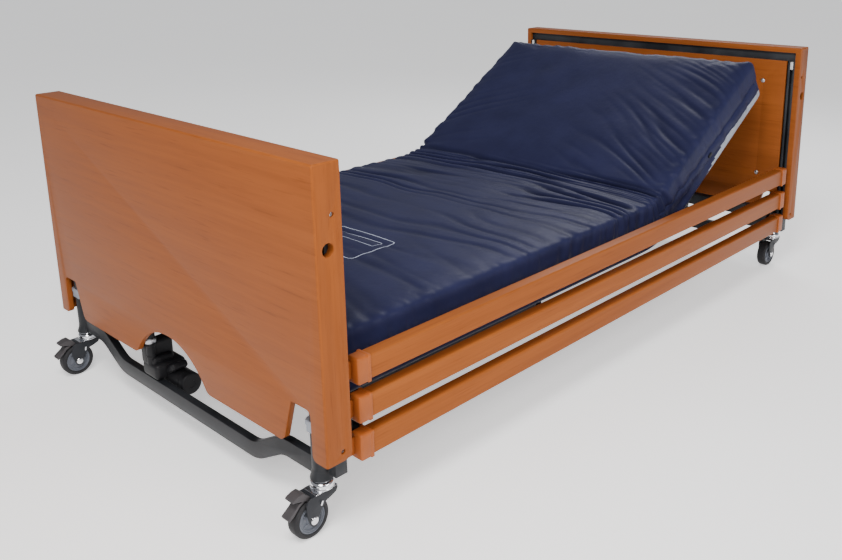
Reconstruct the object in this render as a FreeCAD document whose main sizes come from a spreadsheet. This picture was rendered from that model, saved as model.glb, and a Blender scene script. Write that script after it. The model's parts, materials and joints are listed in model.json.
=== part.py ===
import FreeCAD, Part
import Sketcher
import math
import os
import re

# Adjustable hospital bed with a profiling mattress platform, wooden bed ends,
# three-bar side rails and two electric lift columns.  Millimetres, +Z up, +Y
# towards the head end, +X the patient's left-hand rail.

doc = FreeCAD.newDocument("hospital_bed")
sheet = doc.addObject("Spreadsheet::Sheet", "sizes")

SIZES = [
    # bed ends: a folded wooden tray, open towards the mattress
    ("bed_length", 2180),
    ("bed_width", 1200),
    ("board_top", 800),
    ("board_foot", 178),
    ("apron_foot", 184),
    ("tray_depth", 65),
    ("skin", 14),
    ("rim", 18),
    ("edge_round", 5),
    ("notch_outer", 553),
    ("notch_inner", 490),
    ("notch_inner_foot", 457),
    ("notch_top", 288),
    ("notch_round", 22),
    ("notch_outer_round", 14),
    ("rim_foot_round", 20),
    ("arch_radius", 187),
    ("arch_top", 279),
    ("arch_foot_round", 24),
    ("inner_panel_thickness", 10),
    ("inner_panel_half", 552),
    ("inner_panel_foot", 275),
    ("pocket_hole_radius", 14),
    ("pocket_hole_height", 630),
    ("pocket_hole_inset", 29),
    ("bolt_inset", 42),
    ("bolt_high", 697),
    ("bolt_low", 199),
    ("bolt_radius", 5.3),
    ("shank_radius", 4),
    ("upright_width", 30),
    ("upright_thickness", 8),
    ("screw_spread", 471),
    ("screw_high", 677),
    ("screw_low", 339),
    # steel end frame inside the tray, with its lift columns
    ("frame_bar", 30),
    ("frame_bar_foot", 752),
    ("wall", 2),
    ("column_x", 534),
    ("column_inset", 34),
    ("column_outer", 19),
    ("column_inner", 16),
    ("column_wall", 2.5),
    ("column_foot", 250.5),
    ("column_play", 0.5),
    ("collar_foot", 224),
    ("collar_outer", 28),
    ("collar_bevel", 2.5),
    ("stretcher_foot", 300),
    ("stretcher_height", 40),
    # guide channels for the side rails
    ("channel_inner_x", 559),
    ("channel_width", 23),
    ("channel_depth", 30),
    ("channel_wall", 2.5),
    ("channel_slot", 10),
    ("channel_foot", 134),
    ("channel_inset", 34),
    ("stop_foot", 724),
    ("stop_height", 26),
    # leg frames, lift motors and castors
    ("leg_foot", 118),
    ("leg_sleeve", 19.5),
    ("leg_sleeve_top", 223),
    ("cross_foot", 124),
    ("leg_top", 745),
    ("cross_height", 40),
    ("cross_depth", 20),
    ("cross_dip", 57),
    ("cross_ramp_outer", 415),
    ("cross_ramp_inner", 315),
    ("cross_bend_inside", 70),
    ("cross_bend_outside", 110),
    ("lift_x", 150),
    ("lift_y_inset", 30),
    ("lift_tube", 13),
    ("lift_rod", 9),
    ("lift_tube_top", 700),
    ("motor_radius", 29),
    ("gearbox_top", 205),
    ("gearbox_width", 76),
    ("gearbox_depth", 80),
    ("motor_length", 150),
    ("wheel_radius", 44.5),
    ("tyre_half", 15),
    ("hub_radius", 33),
    ("axle_radius", 6),
    ("trail", 40),
    ("fork_half", 21.5),
    ("fork_gap", 17.5),
    ("crown_foot", 92),
    ("crown_top", 98),
    ("cup_radius", 26),
    ("pedal_half", 14),
    ("pedal_pivot_y", 47),
    ("pedal_pivot_z", 92.5),
    # chassis and mattress platform
    ("chassis_half", 360),
    ("chassis_tube", 30),
    ("chassis_height", 40),
    ("chassis_top", 232),
    ("chassis_end", 985),
    ("cross_end_half", 552),
    ("arm_thickness", 8),
    ("deck_half", 455),
    ("calf_half", 500),
    ("deck_foot", 232.5),
    ("deck_tube", 24.5),
    ("slat", 3),
    ("slat_width", 60),
    ("hinge_height", 247.5),
    ("back_hinge", 290),
    ("back_end", 985),
    ("thigh_hinge", 60),
    ("knee_hinge", -270),
    ("calf_end", -935),
    ("hinge_gap", 10),
    ("lug_radius", 10),
    ("pin_radius", 5),
    ("lug_thickness", 6),
    ("backrest_angle", 31.5),
    # backrest and knee actuators
    ("actuator_x", 150),
    ("actuator_height", 147.7),
    ("lever_radius", 111),
    ("lever_lean", 35),
    ("knee_lean", 15),
    ("lever_thickness", 5),
    ("lever_gap", 14),
    ("slot_length", 37),
    ("back_slot", 17),
    ("knee_slot", 12),
    ("rod_radius", 10),
    ("rod_play", 0.5),
    ("actuator_tube", 20),
    # side rails: three bars on each side
    ("rail_outer", 593.5),
    ("rail_thickness", 33),
    ("rail_height", 54),
    ("rail_low", 179),
    ("rail_pitch", 86),
    ("rail_half", 965),
    ("rail_round", 5),
    ("cap_proud", 3),
    ("cap_height", 60),
    ("cap_length", 33),
    ("slider_neck", 8),
    ("slider_width", 16),
    ("slider_depth", 13),
    ("slider_height", 40),
    # mattress
    ("mattress_half", 530),
    ("mattress_foot", 260),
    ("mattress_top", 410),
    ("mattress_head_end", 1018),
    ("mattress_foot_end", -980),
    ("back_relief", 36),
    ("thigh_relief", 16),
]

for row, (alias, number) in enumerate(SIZES, start=1):
    sheet.set(f"A{row}", alias)
    sheet.set(f"B{row}", str(number))
    sheet.setAlias(f"B{row}", alias)
doc.recompute()

VALUE = dict(SIZES)
ALIAS = re.compile(r"\b(" + "|".join(VALUE) + r")\b")
X_AXIS = FreeCAD.Vector(1, 0, 0)
Y_AXIS = FreeCAD.Vector(0, 1, 0)
Z_AXIS = FreeCAD.Vector(0, 0, 1)
ORIGIN = FreeCAD.Vector(0, 0, 0)

END_Y = VALUE["bed_length"] / 2
COLUMN_Y = END_Y - VALUE["column_inset"]
NODES = {}


# ---------------------------------------------------------------- small tools
def cells(text):
    """Turns plain size names in an expression into references to the sheet."""
    return ALIAS.sub(r"sizes.\1", text)


def bind(thing, prop, text):
    thing.setExpression(prop, cells(text))


def place(thing, x="0", y="0", z="0"):
    for letter, text in zip("xyz", (x, y, z)):
        bind(thing, f"Placement.Base.{letter}", text)


def block(x, y, z):
    """A box between pairs of expressions, low then high, along each axis."""
    box = doc.addObject("Part::Box", "block")
    for prop, (low, high) in zip(("Length", "Width", "Height"), (x, y, z)):
        bind(box, prop, f"({high}) - ({low})")
    place(box, x[0], y[0], z[0])
    return box


def cylinder(radius, length, start, axis=Z_AXIS):
    """A round bar from start, three expressions, along an axis."""
    bar = doc.addObject("Part::Cylinder", "bar")
    bind(bar, "Radius", radius)
    bind(bar, "Height", length)
    bar.Placement = FreeCAD.Placement(ORIGIN, FreeCAD.Rotation(Z_AXIS, axis))
    place(bar, *start)
    return bar


def fuse(*shapes):
    joined = doc.addObject("Part::MultiFuse", "fuse")
    joined.Shapes = list(shapes)
    return joined


def cut(base, *tools):
    """Takes the tools out of the base."""
    result = doc.addObject("Part::Cut", "cut")
    result.Base = base
    result.Tool = tools[0] if len(tools) == 1 else fuse(*tools)
    return result


def tube(x, y, z, along, wall="wall"):
    """A square-section tube: a box bored right through along one axis."""
    inner = [(f"{low} + {wall}", f"{high} - {wall}") for low, high in (x, y, z)]
    which = "xyz".index(along)
    low, high = (x, y, z)[which]
    inner[which] = (f"{low} - 1", f"{high} + 1")
    return cut(block(x, y, z), block(*inner))


def ring(outer, inner, length, start, axis=Z_AXIS):
    """A round tube."""
    return cut(cylinder(outer, length, start, axis), cylinder(inner, length, start, axis))


def rounded(thing, radius, keep):
    """Rounds the edges of a feature that keep(edge) picks."""
    doc.recompute()
    edges = [n for n, edge in enumerate(thing.Shape.Edges, start=1) if keep(edge)]
    round_off = doc.addObject("Part::Fillet", "rounded")
    round_off.Base = thing
    round_off.Edges = [(n, VALUE[radius], VALUE[radius]) for n in edges]
    return round_off


def runs_along(edge, axis):
    """Says whether an edge is straight and lies along an axis."""
    if not isinstance(edge.Curve, (Part.Line, Part.LineSegment)):
        return False
    return abs(edge.tangentAt(edge.FirstParameter).dot(axis)) > 0.999


def node(label, pieces, placement=None):
    """Gathers separate solids under the name that their file takes."""
    if len(pieces) == 1 and placement is None:
        group = pieces[0]
    else:
        group = doc.addObject("Part::Compound", "group")
        group.Links = pieces
        if placement is not None:
            group.Placement = placement
    group.Label = label
    NODES[label] = group
    return group


def mirrored_x(make):
    """Makes a piece on each side: make gets a function that signs an x pair."""
    right = make(lambda low, high: (low, high))
    left = make(lambda low, high: (f"-({high})", f"-({low})"))
    return [left, right]


def turned(angle, y, z):
    """A placement that turns about an X axis through y and z."""
    centre = FreeCAD.Vector(0, y, z)
    return FreeCAD.Placement(ORIGIN, FreeCAD.Rotation(X_AXIS, angle), centre)


def at_end(end):
    """The head end as modelled, or turned half round to be the foot end."""
    angle = 0 if end == "head" else 180
    return FreeCAD.Placement(ORIGIN, FreeCAD.Rotation(Z_AXIS, angle))


# ------------------------------------------------------------ sketched bodies
def new_body(label):
    body = doc.addObject("PartDesign::Body", label)
    body.Label = label
    return body


def sketch_on(body, role, offset="0"):
    """An empty sketch on one of a body's own planes, moved along its normal."""
    drawing = body.newObject("Sketcher::SketchObject", "outline")
    plane = next(item for item in body.Origin.OriginFeatures if item.Role == role)
    drawing.AttachmentSupport = [(plane, "")]
    drawing.MapMode = "FlatFace"
    bind(drawing, "AttachmentOffset.Base.z", offset)
    return drawing


def draw_outline(drawing, corners):
    """A closed polygon whose corners are pairs of expressions."""
    doc.recompute()
    count = len(corners)
    guess = [
        FreeCAD.Vector(float(evaluate(across)), float(evaluate(up)), 0)
        for across, up in corners
    ]
    lines = [Part.LineSegment(guess[n], guess[(n + 1) % count]) for n in range(count)]
    drawing.addGeometry(lines, False)
    for n, (across, up) in enumerate(corners):
        drawing.addConstraint(Sketcher.Constraint("Coincident", n, 2, (n + 1) % count, 1))
        for kind, text, number in (
            ("DistanceX", across, guess[n].x),
            ("DistanceY", up, guess[n].y),
        ):
            index = drawing.addConstraint(Sketcher.Constraint(kind, -1, 1, n, 1, number))
            bind(drawing, f"Constraints[{index}]", text)


def evaluate(text):
    """The number that an expression gives."""
    return sheet.evalExpression(ALIAS.sub(r"\1", text))


def draw_circle(drawing, across, up, radius):
    x, y, r = (float(evaluate(text)) for text in (across, up, radius))
    centre = FreeCAD.Vector(x, y, 0)
    n = drawing.addGeometry(Part.Circle(centre, FreeCAD.Vector(0, 0, 1), r), False)
    for constraint, text in (
        (Sketcher.Constraint("DistanceX", -1, 1, n, 3, x), across),
        (Sketcher.Constraint("DistanceY", -1, 1, n, 3, y), up),
        (Sketcher.Constraint("Radius", n, r), radius),
    ):
        index = drawing.addConstraint(constraint)
        bind(drawing, f"Constraints[{index}]", text)


def pad(body, drawing, length, both_ways=False):
    feature = body.newObject("PartDesign::Pad", "pad")
    feature.Profile = drawing
    feature.Midplane = both_ways
    bind(feature, "Length", length)
    doc.recompute()
    return feature


def pocket(body, drawing, length):
    """Cuts a profile out of a body, half the length to each side of it."""
    before = body.Shape.Volume
    feature = body.newObject("PartDesign::Pocket", "pocket")
    feature.Profile = drawing
    feature.Midplane = True
    bind(feature, "Length", length)
    doc.recompute()
    if body.Shape.Volume > before - 1:
        raise RuntimeError(f"a pocket in {body.Label} cut nothing")
    return feature


def revolve(label, profile, placement):
    """A turned piece: the profile's radius and height about its own Z axis."""
    body = new_body(label)
    drawing = sketch_on(body, "XZ_Plane")
    draw_outline(drawing, profile)
    turn = body.newObject("PartDesign::Revolution", "turned")
    turn.Profile = drawing
    turn.ReferenceAxis = (drawing, ["V_Axis"])
    turn.Angle = 360
    body.Placement = placement
    doc.recompute()
    return body


def round_edges(body, radius, keep):
    """Rounds the edges of a body's newest feature that keep(edge) picks."""
    tip = body.Tip
    names = [f"Edge{n}" for n, edge in enumerate(tip.Shape.Edges, start=1) if keep(edge)]
    feature = body.newObject("PartDesign::Fillet", "rounding")
    feature.Base = (tip, names)
    bind(feature, "Radius", radius)
    doc.recompute()


# ------------------------------------------------------------------- bed ends
END = "bed_length / 2"


def make_board(end):
    """A bed end: a wooden skin folded round its top and sides into a tray."""
    body = new_body(f"{end}_board")
    skin = sketch_on(body, "XZ_Plane", f"-{END}")
    half = "bed_width / 2"
    right = [
        (half, "board_top"),
        (half, "board_foot"),
        ("notch_outer", "board_foot"),
        ("notch_outer", "notch_top"),
        ("notch_inner", "notch_top"),
        ("notch_inner_foot", "apron_foot"),
    ]
    left = [(f"-{across}", up) for across, up in reversed(right)]
    draw_outline(skin, right + left)
    pad(body, skin, "skin")

    rims = sketch_on(body, "XZ_Plane", f"-{END}")
    hoop = [
        (half, "board_top"),
        (half, "board_foot"),
        (f"{half} - rim", "board_foot"),
        (f"{half} - rim", "board_top - rim"),
    ]
    draw_outline(rims, hoop + [(f"-({across})", up) for across, up in reversed(hoop)])
    pad(body, rims, "tray_depth")

    arch = sketch_on(body, "XZ_Plane", f"-{END}")
    draw_circle(arch, "0", "arch_top - arch_radius", "arch_radius")
    pocket(body, arch, "4 * skin")

    holes = sketch_on(body, "YZ_Plane")
    draw_circle(holes, f"{END} - pocket_hole_inset", "pocket_hole_height", "pocket_hole_radius")
    for height in ("bolt_high", "bolt_low"):
        draw_circle(holes, f"{END} - bolt_inset", height, "bolt_radius + 0.2")
    pocket(body, holes, "bed_width + 2")

    def across_skin(edge):
        return runs_along(edge, Y_AXIS) and edge.Length < VALUE["skin"] + 1

    def near(edge, x, z):
        point = edge.CenterOfMass
        return abs(abs(point.x) - x) < 2 and abs(point.z - z) < 2

    def notch_corner(edge):
        heights = (VALUE["board_foot"], VALUE["notch_top"])
        return across_skin(edge) and any(near(edge, VALUE["notch_outer"], z) for z in heights)

    def rim_corner(edge):
        point = edge.CenterOfMass
        inner = abs(point.y - END_Y + VALUE["tray_depth"]) < 1 and abs(point.z - VALUE["board_foot"]) < 1
        return runs_along(edge, X_AXIS) and inner

    def apron_corner(edge):
        return across_skin(edge) and near(edge, VALUE["notch_inner_foot"], VALUE["apron_foot"])

    def arch_corner(edge):
        drop = VALUE["arch_top"] - VALUE["arch_radius"] - VALUE["apron_foot"]
        foot = math.sqrt(VALUE["arch_radius"] ** 2 - drop**2)
        return across_skin(edge) and near(edge, foot, VALUE["apron_foot"])

    def outer_edge(edge):
        point = edge.CenterOfMass
        on_face = abs(point.y - END_Y) < 0.01 and abs(point.x) > VALUE["bed_width"] / 2 - 0.01
        on_top = abs(point.y - END_Y) < 0.01 and abs(point.z - VALUE["board_top"]) < 0.01
        corner = runs_along(edge, Y_AXIS) and near(edge, VALUE["bed_width"] / 2, VALUE["board_top"])
        return on_face or on_top or corner

    round_edges(body, "notch_round", apron_corner)
    round_edges(body, "arch_foot_round", arch_corner)
    round_edges(body, "notch_outer_round", notch_corner)
    round_edges(body, "rim_foot_round", rim_corner)
    round_edges(body, "edge_round", outer_edge)
    body.Placement = at_end(end)
    NODES[f"{end}_board"] = body


def mirrored_pair(make):
    """Both ends' copies of one piece, made at the head end by make()."""
    pieces = []
    for end in ("head", "foot"):
        group = doc.addObject("Part::Compound", "pair")
        group.Links = make()
        group.Placement = at_end(end)
        pieces.append(group)
    return pieces


FACE = f"{END} - tray_depth"


def make_inner_panel():
    """The thin lining screwed to the steel frame, facing the mattress."""
    panel = block(
        ("-inner_panel_half", "inner_panel_half"),
        (f"{FACE} + 1", f"{FACE} + 1 + inner_panel_thickness"),
        ("inner_panel_foot", "frame_bar_foot"),
    )
    return [cut(panel, *screw_holes(FACE))]


def make_panel_screws():
    """Round-headed screws that hold the lining."""
    screws = []
    for x in ("-screw_spread", "screw_spread"):
        for z in ("screw_high", "screw_low"):
            shank = cylinder("3", "inner_panel_thickness + 8", (x, f"{FACE} - 1", z), Y_AXIS)
            dome = doc.addObject("Part::Sphere", "dome")
            bind(dome, "Radius", "9")
            place(dome, x, f"{FACE} + 6", z)
            front = block(
                (f"{x} - 10", f"{x} + 10"),
                (f"{FACE} - 5", f"{FACE} + 1"),
                (f"{z} - 10", f"{z} + 10"),
            )
            head = doc.addObject("Part::Common", "head")
            head.Base = dome
            head.Tool = front
            screws.append(fuse(shank, head))
    return screws


def make_board_bolts():
    """Socket screws through the rims, sunk below the surface."""
    side = "bed_width / 2"
    y = f"{END} - bolt_inset"
    bolts = []
    for sign, way in (("", X_AXIS), ("-", -X_AXIS)):
        for height in ("bolt_high", "bolt_low"):
            head = cylinder("bolt_radius", "rim - 3", (f"{sign}({side} - rim)", y, height), way)
            shank = cylinder("shank_radius", "10", (f"{sign}({side} - rim - 4)", y, height), way)
            socket = cylinder("2.5", "6", (f"{sign}({side} - 7)", y, height), way)
            bolts.append(cut(fuse(head, shank), socket))
    return bolts


# --------------------------------------------- steel end frames and channels
COLUMN = f"{END} - column_inset"


def make_end_frame():
    """The welded frame in a tray: a top bar, a stretcher and two columns."""
    face = f"{FACE} + 1 + inner_panel_thickness"
    bar = tube(
        ("rim + 1 - bed_width / 2", "bed_width / 2 - rim - 1"),
        (face, f"{face} + frame_bar"),
        ("frame_bar_foot", "frame_bar_foot + frame_bar"),
        "x",
    )
    depth = (face, f"{face} + upright_thickness")
    stretcher = cut(
        block(("10 - column_x", "column_x - 10"), depth, ("stretcher_foot", "stretcher_foot + stretcher_height")),
        *[
            cylinder("column_outer", "2 * stretcher_height", (x, COLUMN, "stretcher_foot - 20"))
            for x in ("-column_x", "column_x")
        ],
        *screw_holes(face),
    )
    uprights = [
        cut(
            block(
                (f"{x} - upright_width / 2", f"{x} + upright_width / 2"),
                depth,
                ("stretcher_foot + stretcher_height", "frame_bar_foot"),
            ),
            *screw_holes(face),
        )
        for x in ("-screw_spread", "screw_spread")
    ]
    columns = [
        ring(
            "column_outer",
            "column_inner + column_play",
            "frame_bar_foot - column_foot",
            (x, COLUMN, "column_foot"),
        )
        for x in ("-column_x", "column_x")
    ]
    return [bar, stretcher] + uprights + columns


def screw_holes(start):
    """The holes that the lining's screws pass through."""
    return [
        cylinder("3.05", "30", (x, f"{start} - 15", z), Y_AXIS)
        for x in ("-screw_spread", "screw_spread")
        for z in ("screw_high", "screw_low")
    ]


def make_collars():
    """Plastic guide bushes under the columns, cut flat beside the channels."""
    collars = []
    for sign in ("", "-"):
        x = f"{sign}column_x"
        lower = "column_foot - 12 - collar_foot"
        sleeve = cylinder("collar_outer - 2", lower, (x, COLUMN, "collar_foot"))
        rim = cylinder("collar_outer", "11", (x, COLUMN, "column_foot - 12"))
        bore = cylinder("column_inner + 0.3", "60", (x, COLUMN, "collar_foot - 5"))
        sides = [f"{sign}(column_x - 40)", f"{sign}(channel_inner_x - 0.5)"][:: -1 if sign else 1]
        room = block(sides, (f"{COLUMN} - 40", f"{END} - skin - 0.5"), ("collar_foot - 5", "column_foot"))
        inside = doc.addObject("Part::MultiCommon", "common")
        inside.Shapes = [cut(fuse(sleeve, rim), bore), room]
        collars.append(inside)
    return collars


def make_channels():
    """C-section guides, slotted towards the mattress, one at each corner."""

    def channel(signed):
        front = f"{END} - channel_inset - channel_depth"
        height = ("channel_foot", "frame_bar_foot")
        x0, x1 = "channel_inner_x", "channel_inner_x + channel_width"
        middle = "channel_inner_x + channel_width / 2"
        through = ("channel_foot - 1", "frame_bar_foot + 1")
        outer = block(signed(x0, x1), (front, f"{front} + channel_depth"), height)
        hollow = block(
            signed(f"{x0} + channel_wall", f"{x1} - channel_wall"),
            (f"{front} + channel_wall", f"{front} + channel_depth - channel_wall"),
            through,
        )
        slot = block(
            signed(f"{middle} - channel_slot / 2", f"{middle} + channel_slot / 2"),
            (f"{front} - 1", f"{front} + channel_wall + 1"),
            through,
        )
        start = signed(x1, x1)[0]
        holes = [
            cylinder("shank_radius + 0.1", "20", (f"{start} - 10", f"{END} - bolt_inset", z), X_AXIS)
            for z in ("bolt_high", "bolt_low")
        ]
        return cut(outer, hollow, slot, *holes)

    return mirrored_x(channel)


def make_stops():
    """White stop blocks near the top of each channel."""

    def stop(signed):
        front = f"{END} - channel_inset - channel_depth"
        x0, x1 = "channel_inner_x", "channel_inner_x + channel_width"
        middle = "channel_inner_x + channel_width / 2"
        body = block(
            signed(f"{x0} + channel_wall + 0.2", f"{x1} - channel_wall - 0.2"),
            (f"{front} + channel_wall", f"{front} + channel_depth - channel_wall - 0.2"),
            ("stop_foot", "stop_foot + stop_height"),
        )
        nose = block(
            signed(f"{middle} - channel_slot / 2 + 0.2", f"{middle} + channel_slot / 2 - 0.2"),
            (f"{front} - 1", f"{front} + channel_wall + 1"),
            ("stop_foot", "stop_foot + stop_height"),
        )
        return fuse(body, nose)

    return mirrored_x(stop)


# ----------------------------------------------------- leg frames and castors
def make_leg_frame(end):
    """Two inner columns joined by a tube that dips between the castors."""
    legs = []
    for x in ("-column_x", "column_x"):
        column = cylinder("column_inner", "leg_top - leg_foot", (x, COLUMN, "leg_foot"))
        sleeve = cylinder("leg_sleeve", "leg_sleeve_top - leg_foot", (x, COLUMN, "leg_foot"))
        bore = cylinder("column_inner - column_wall", "leg_top", (x, COLUMN, "leg_foot - 1"))
        legs.append(cut(fuse(column, sleeve), bore))
    body = new_body(f"{end}_cross_tube")
    drawing = sketch_on(body, "XZ_Plane", f"-({COLUMN} + cross_depth / 2)")
    right = [
        ("column_x - column_wall", "cross_foot + cross_height"),
        ("column_x - column_wall", "cross_foot"),
        ("cross_ramp_outer", "cross_foot"),
        ("cross_ramp_inner", "cross_foot - cross_dip"),
    ]
    top = [
        ("cross_ramp_inner - cross_height / 4", "cross_foot - cross_dip + cross_height"),
        ("cross_ramp_outer - cross_height / 4", "cross_foot + cross_height"),
    ]
    left = [(f"-({across})", up) for across, up in reversed(right)]
    top_left = [(f"-({across})", up) for across, up in reversed(top)]
    draw_outline(drawing, right + left + top_left + top)
    pad(body, drawing, "cross_depth")
    saddle = sketch_on(body, "XY_Plane")
    for x in ("-column_x", "column_x"):
        draw_circle(saddle, x, COLUMN, "leg_sleeve")
    pocket(body, saddle, "4 * leg_foot")

    low, high = VALUE["cross_foot"] - VALUE["cross_dip"], VALUE["cross_foot"]

    def bend(edge, *levels):
        point = edge.CenterOfMass
        inside = abs(point.x) < VALUE["cross_ramp_outer"] + 1 and edge.Length < VALUE["cross_depth"] + 1
        return runs_along(edge, Y_AXIS) and inside and any(abs(point.z - level) < 1 for level in levels)

    round_edges(body, "cross_bend_inside", lambda edge: bend(edge, high, low + VALUE["cross_height"]))
    round_edges(body, "cross_bend_outside", lambda edge: bend(edge, low, high + VALUE["cross_height"]))
    return node(f"{end}_leg_frame", legs + [body], at_end(end))


def make_lift(end):
    """The lift motor on the dipped tube, with its upright screw tube."""
    y = f"{END} - lift_y_inset"
    floor = "cross_foot - cross_dip + cross_height"
    motor_y = f"{COLUMN} - cross_depth / 2 - motor_radius - 5"
    gearbox = block(
        ("lift_x - gearbox_width / 2", "lift_x + gearbox_width / 2"),
        (f"{COLUMN} + 16 - gearbox_depth", f"{COLUMN} + 16"),
        (floor, "gearbox_top"),
    )
    gearbox = rounded(gearbox, "arm_thickness", lambda edge: runs_along(edge, Z_AXIS))
    motor = cylinder(
        "motor_radius",
        "motor_length",
        ("lift_x + 45", motor_y, f"{floor} - 2"),
        -X_AXIS,
    )
    screw_bore = cylinder("lift_rod + 1", "200", ("lift_x", y, "gearbox_top - 60"))
    housing = cut(fuse(gearbox, motor), screw_bore)
    screw_tube = ring("lift_tube", "lift_rod + 0.5", "lift_tube_top - gearbox_top", ("lift_x", y, "gearbox_top"))
    node(f"{end}_lift_motor", [housing, screw_tube], at_end(end))


def make_lift_rod():
    """The pushed rod that hangs from the frame's top bar."""
    y = f"{END} - lift_y_inset"
    return [cylinder("lift_rod", "frame_bar_foot - gearbox_top - 15", ("lift_x", y, "gearbox_top + 15"))]


def make_cups(end):
    """Bright swivel housings between the legs and the castor forks."""
    cups = []
    for x in ("-column_x", "column_x"):
        bell = doc.addObject("Part::Cone", "bell")
        bind(bell, "Radius1", "cup_radius")
        bind(bell, "Radius2", "column_inner + 3")
        bind(bell, "Height", "leg_foot - crown_top - 8")
        place(bell, x, COLUMN, "crown_top + 8")
        base = cylinder("cup_radius", "7.5", (x, COLUMN, "crown_top + 0.5"))
        bore = cylinder("axle_radius + 0.05", "14", (x, COLUMN, "crown_top"))
        cups.append(cut(fuse(base, bell), bore))
    return node(f"{end}_castor_cups", cups, at_end(end))


CORNERS = {
    "foot_right": (1, -1),
    "foot_left": (-1, -1),
    "head_right": (1, 1),
    "head_left": (-1, 1),
}


def make_castor(corner):
    """A swivel fork with its axle, a hub and a tyre, trailing to the foot."""
    side, end = CORNERS[corner]
    x, y = side * VALUE["column_x"], end * COLUMN_Y
    swivel = FreeCAD.Placement(FreeCAD.Vector(x, y, 0), FreeCAD.Rotation())
    wheel = FreeCAD.Placement(
        FreeCAD.Vector(x, y - VALUE["trail"], VALUE["wheel_radius"]),
        FreeCAD.Rotation(Z_AXIS, X_AXIS),
    )

    fork = new_body(f"{corner}_fork")
    cheeks = sketch_on(fork, "YZ_Plane")
    profile = [
        ("24", "crown_top"),
        ("-44", "crown_top"),
        ("-58", "87"),
        ("-57", "46"),
        ("-trail - 9", "wheel_radius - 14"),
        ("-trail + 9", "wheel_radius - 14"),
        ("-25", "50"),
        ("-12", "78"),
        ("24", "crown_foot - 3"),
    ]
    draw_outline(cheeks, profile)
    pad(fork, cheeks, "2 * fork_half", both_ways=True)
    gap = sketch_on(fork, "YZ_Plane")
    draw_outline(gap, [("30", "crown_foot"), ("-34", "crown_foot"), ("-34", "110"), ("-70", "110"), ("-70", "20"), ("30", "20")])
    pocket(fork, gap, "2 * fork_gap")
    pins = sketch_on(fork, "YZ_Plane")
    draw_circle(pins, "-trail", "wheel_radius", "axle_radius + 0.05")
    draw_circle(pins, "-pedal_pivot_y", "pedal_pivot_z", "3.05")
    pocket(fork, pins, "4 * fork_half")

    axle = cylinder("axle_radius", "2 * fork_half + 2", ("-fork_half - 1", "-trail", "wheel_radius"), X_AXIS)
    caps = [
        cylinder("9", "4", (start, "-trail", "wheel_radius"), way)
        for start, way in (("fork_half + 0.1", X_AXIS), ("-fork_half - 0.1", -X_AXIS))
    ]
    kingpin = cylinder("axle_radius", "12", ("0", "0", "crown_top"))
    node(f"{corner}_fork", [fork, fuse(axle, *caps), kingpin], swivel)

    half = "tyre_half"
    hub = [
        ("axle_radius + 0.05", f"-({half}) - 1"),
        ("12", f"-({half}) - 1"),
        ("14", "-6"),
        ("hub_radius - 6", "-6"),
        ("hub_radius - 4", f"1.5 - {half}"),
        ("hub_radius", f"1.5 - {half}"),
    ]
    mirror = [(radius, f"-({height})") for radius, height in reversed(hub)]
    NODES[f"{corner}_hub"] = revolve(f"{corner}_hub", hub + mirror, wheel)
    tread = [
        ("hub_radius + 0.05", f"1 - {half}"),
        ("hub_radius + 5", f"-({half})"),
        ("wheel_radius - 3.5", f"2 - {half}"),
        ("wheel_radius", f"7 - {half}"),
    ]
    mirror = [(radius, f"-({height})") for radius, height in reversed(tread)]
    NODES[f"{corner}_tyre"] = revolve(f"{corner}_tyre", tread + mirror, wheel)


def make_pedal(corner):
    """The brake pedal of a foot castor: a step-on and a step-off tread."""
    side, end = CORNERS[corner]
    place_at = FreeCAD.Placement(
        FreeCAD.Vector(side * VALUE["column_x"], end * COLUMN_Y, 0), FreeCAD.Rotation()
    )
    body = new_body(f"{corner}_pedal_plate")
    drawing = sketch_on(body, "YZ_Plane")
    profile = [
        ("-42", "97"),
        ("-58", "113"),
        ("-84", "106"),
        ("-86", "101"),
        ("-70", "97"),
        ("-72", "88"),
        ("-98", "69"),
        ("-95", "62"),
        ("-81", "72.5"),
        ("-67", "86.5"),
        ("-55", "92"),
        ("-47", "94"),
    ]
    draw_outline(drawing, profile)
    pad(body, drawing, "2 * pedal_half", both_ways=True)
    pin = cylinder("3", "2 * fork_half", ("-fork_half", "-pedal_pivot_y", "pedal_pivot_z"), X_AXIS)
    boss = cylinder("3.9", "2 * pedal_half", ("-pedal_half", "-pedal_pivot_y", "pedal_pivot_z"), X_AXIS)
    node(f"{corner}_pedal", [fuse(body, pin, boss)], place_at)


# --------------------------------------------------- chassis and the platform
def lugs(hinge, grow, x_offset):
    """A pair of hinge plates, each reaching from its pin to its own frame."""
    plates = []
    for sign in (1, -1):
        start = f"chassis_half + {x_offset}"
        if sign < 0:
            start = f"-({start} + lug_thickness)"
        eye = cylinder("lug_radius - 1", "lug_thickness", (start, hinge, "hinge_height"), X_AXIS)
        x = (start, f"{start} + lug_thickness")
        bore = cylinder("pin_radius + 0.05", "lug_thickness + 2", (f"{start} - 1", hinge, "hinge_height"), X_AXIS)
        plates.append(cut(fuse(eye, block(x, *grow)), bore))
    return plates


def hinge_pins(hinge):
    """Short shouldered pins that join two pairs of plates."""
    length = "2 * lug_thickness + 3"
    return [
        cylinder("pin_radius", length, (start, hinge, "hinge_height"), X_AXIS)
        for start in ("chassis_half - 1", f"1 - chassis_half - ({length})")
    ]


def frame_lugs(hinge, towards):
    """Plates on a platform section, from its end tube back to the pin."""
    edge = f"{hinge} + hinge_gap" if towards > 0 else f"{hinge} - hinge_gap"
    span = (hinge, edge) if towards > 0 else (edge, hinge)
    return lugs(hinge, (span, ("hinge_height - 8", "hinge_height + 8")), "lug_thickness + 1.5")


def chassis_lugs(hinge):
    """Plates on the chassis side tubes, rising to the pin."""
    span = (f"{hinge} - 8", f"{hinge} + 8")
    return lugs(hinge, (span, ("chassis_top - 30", "hinge_height")), "0")


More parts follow.
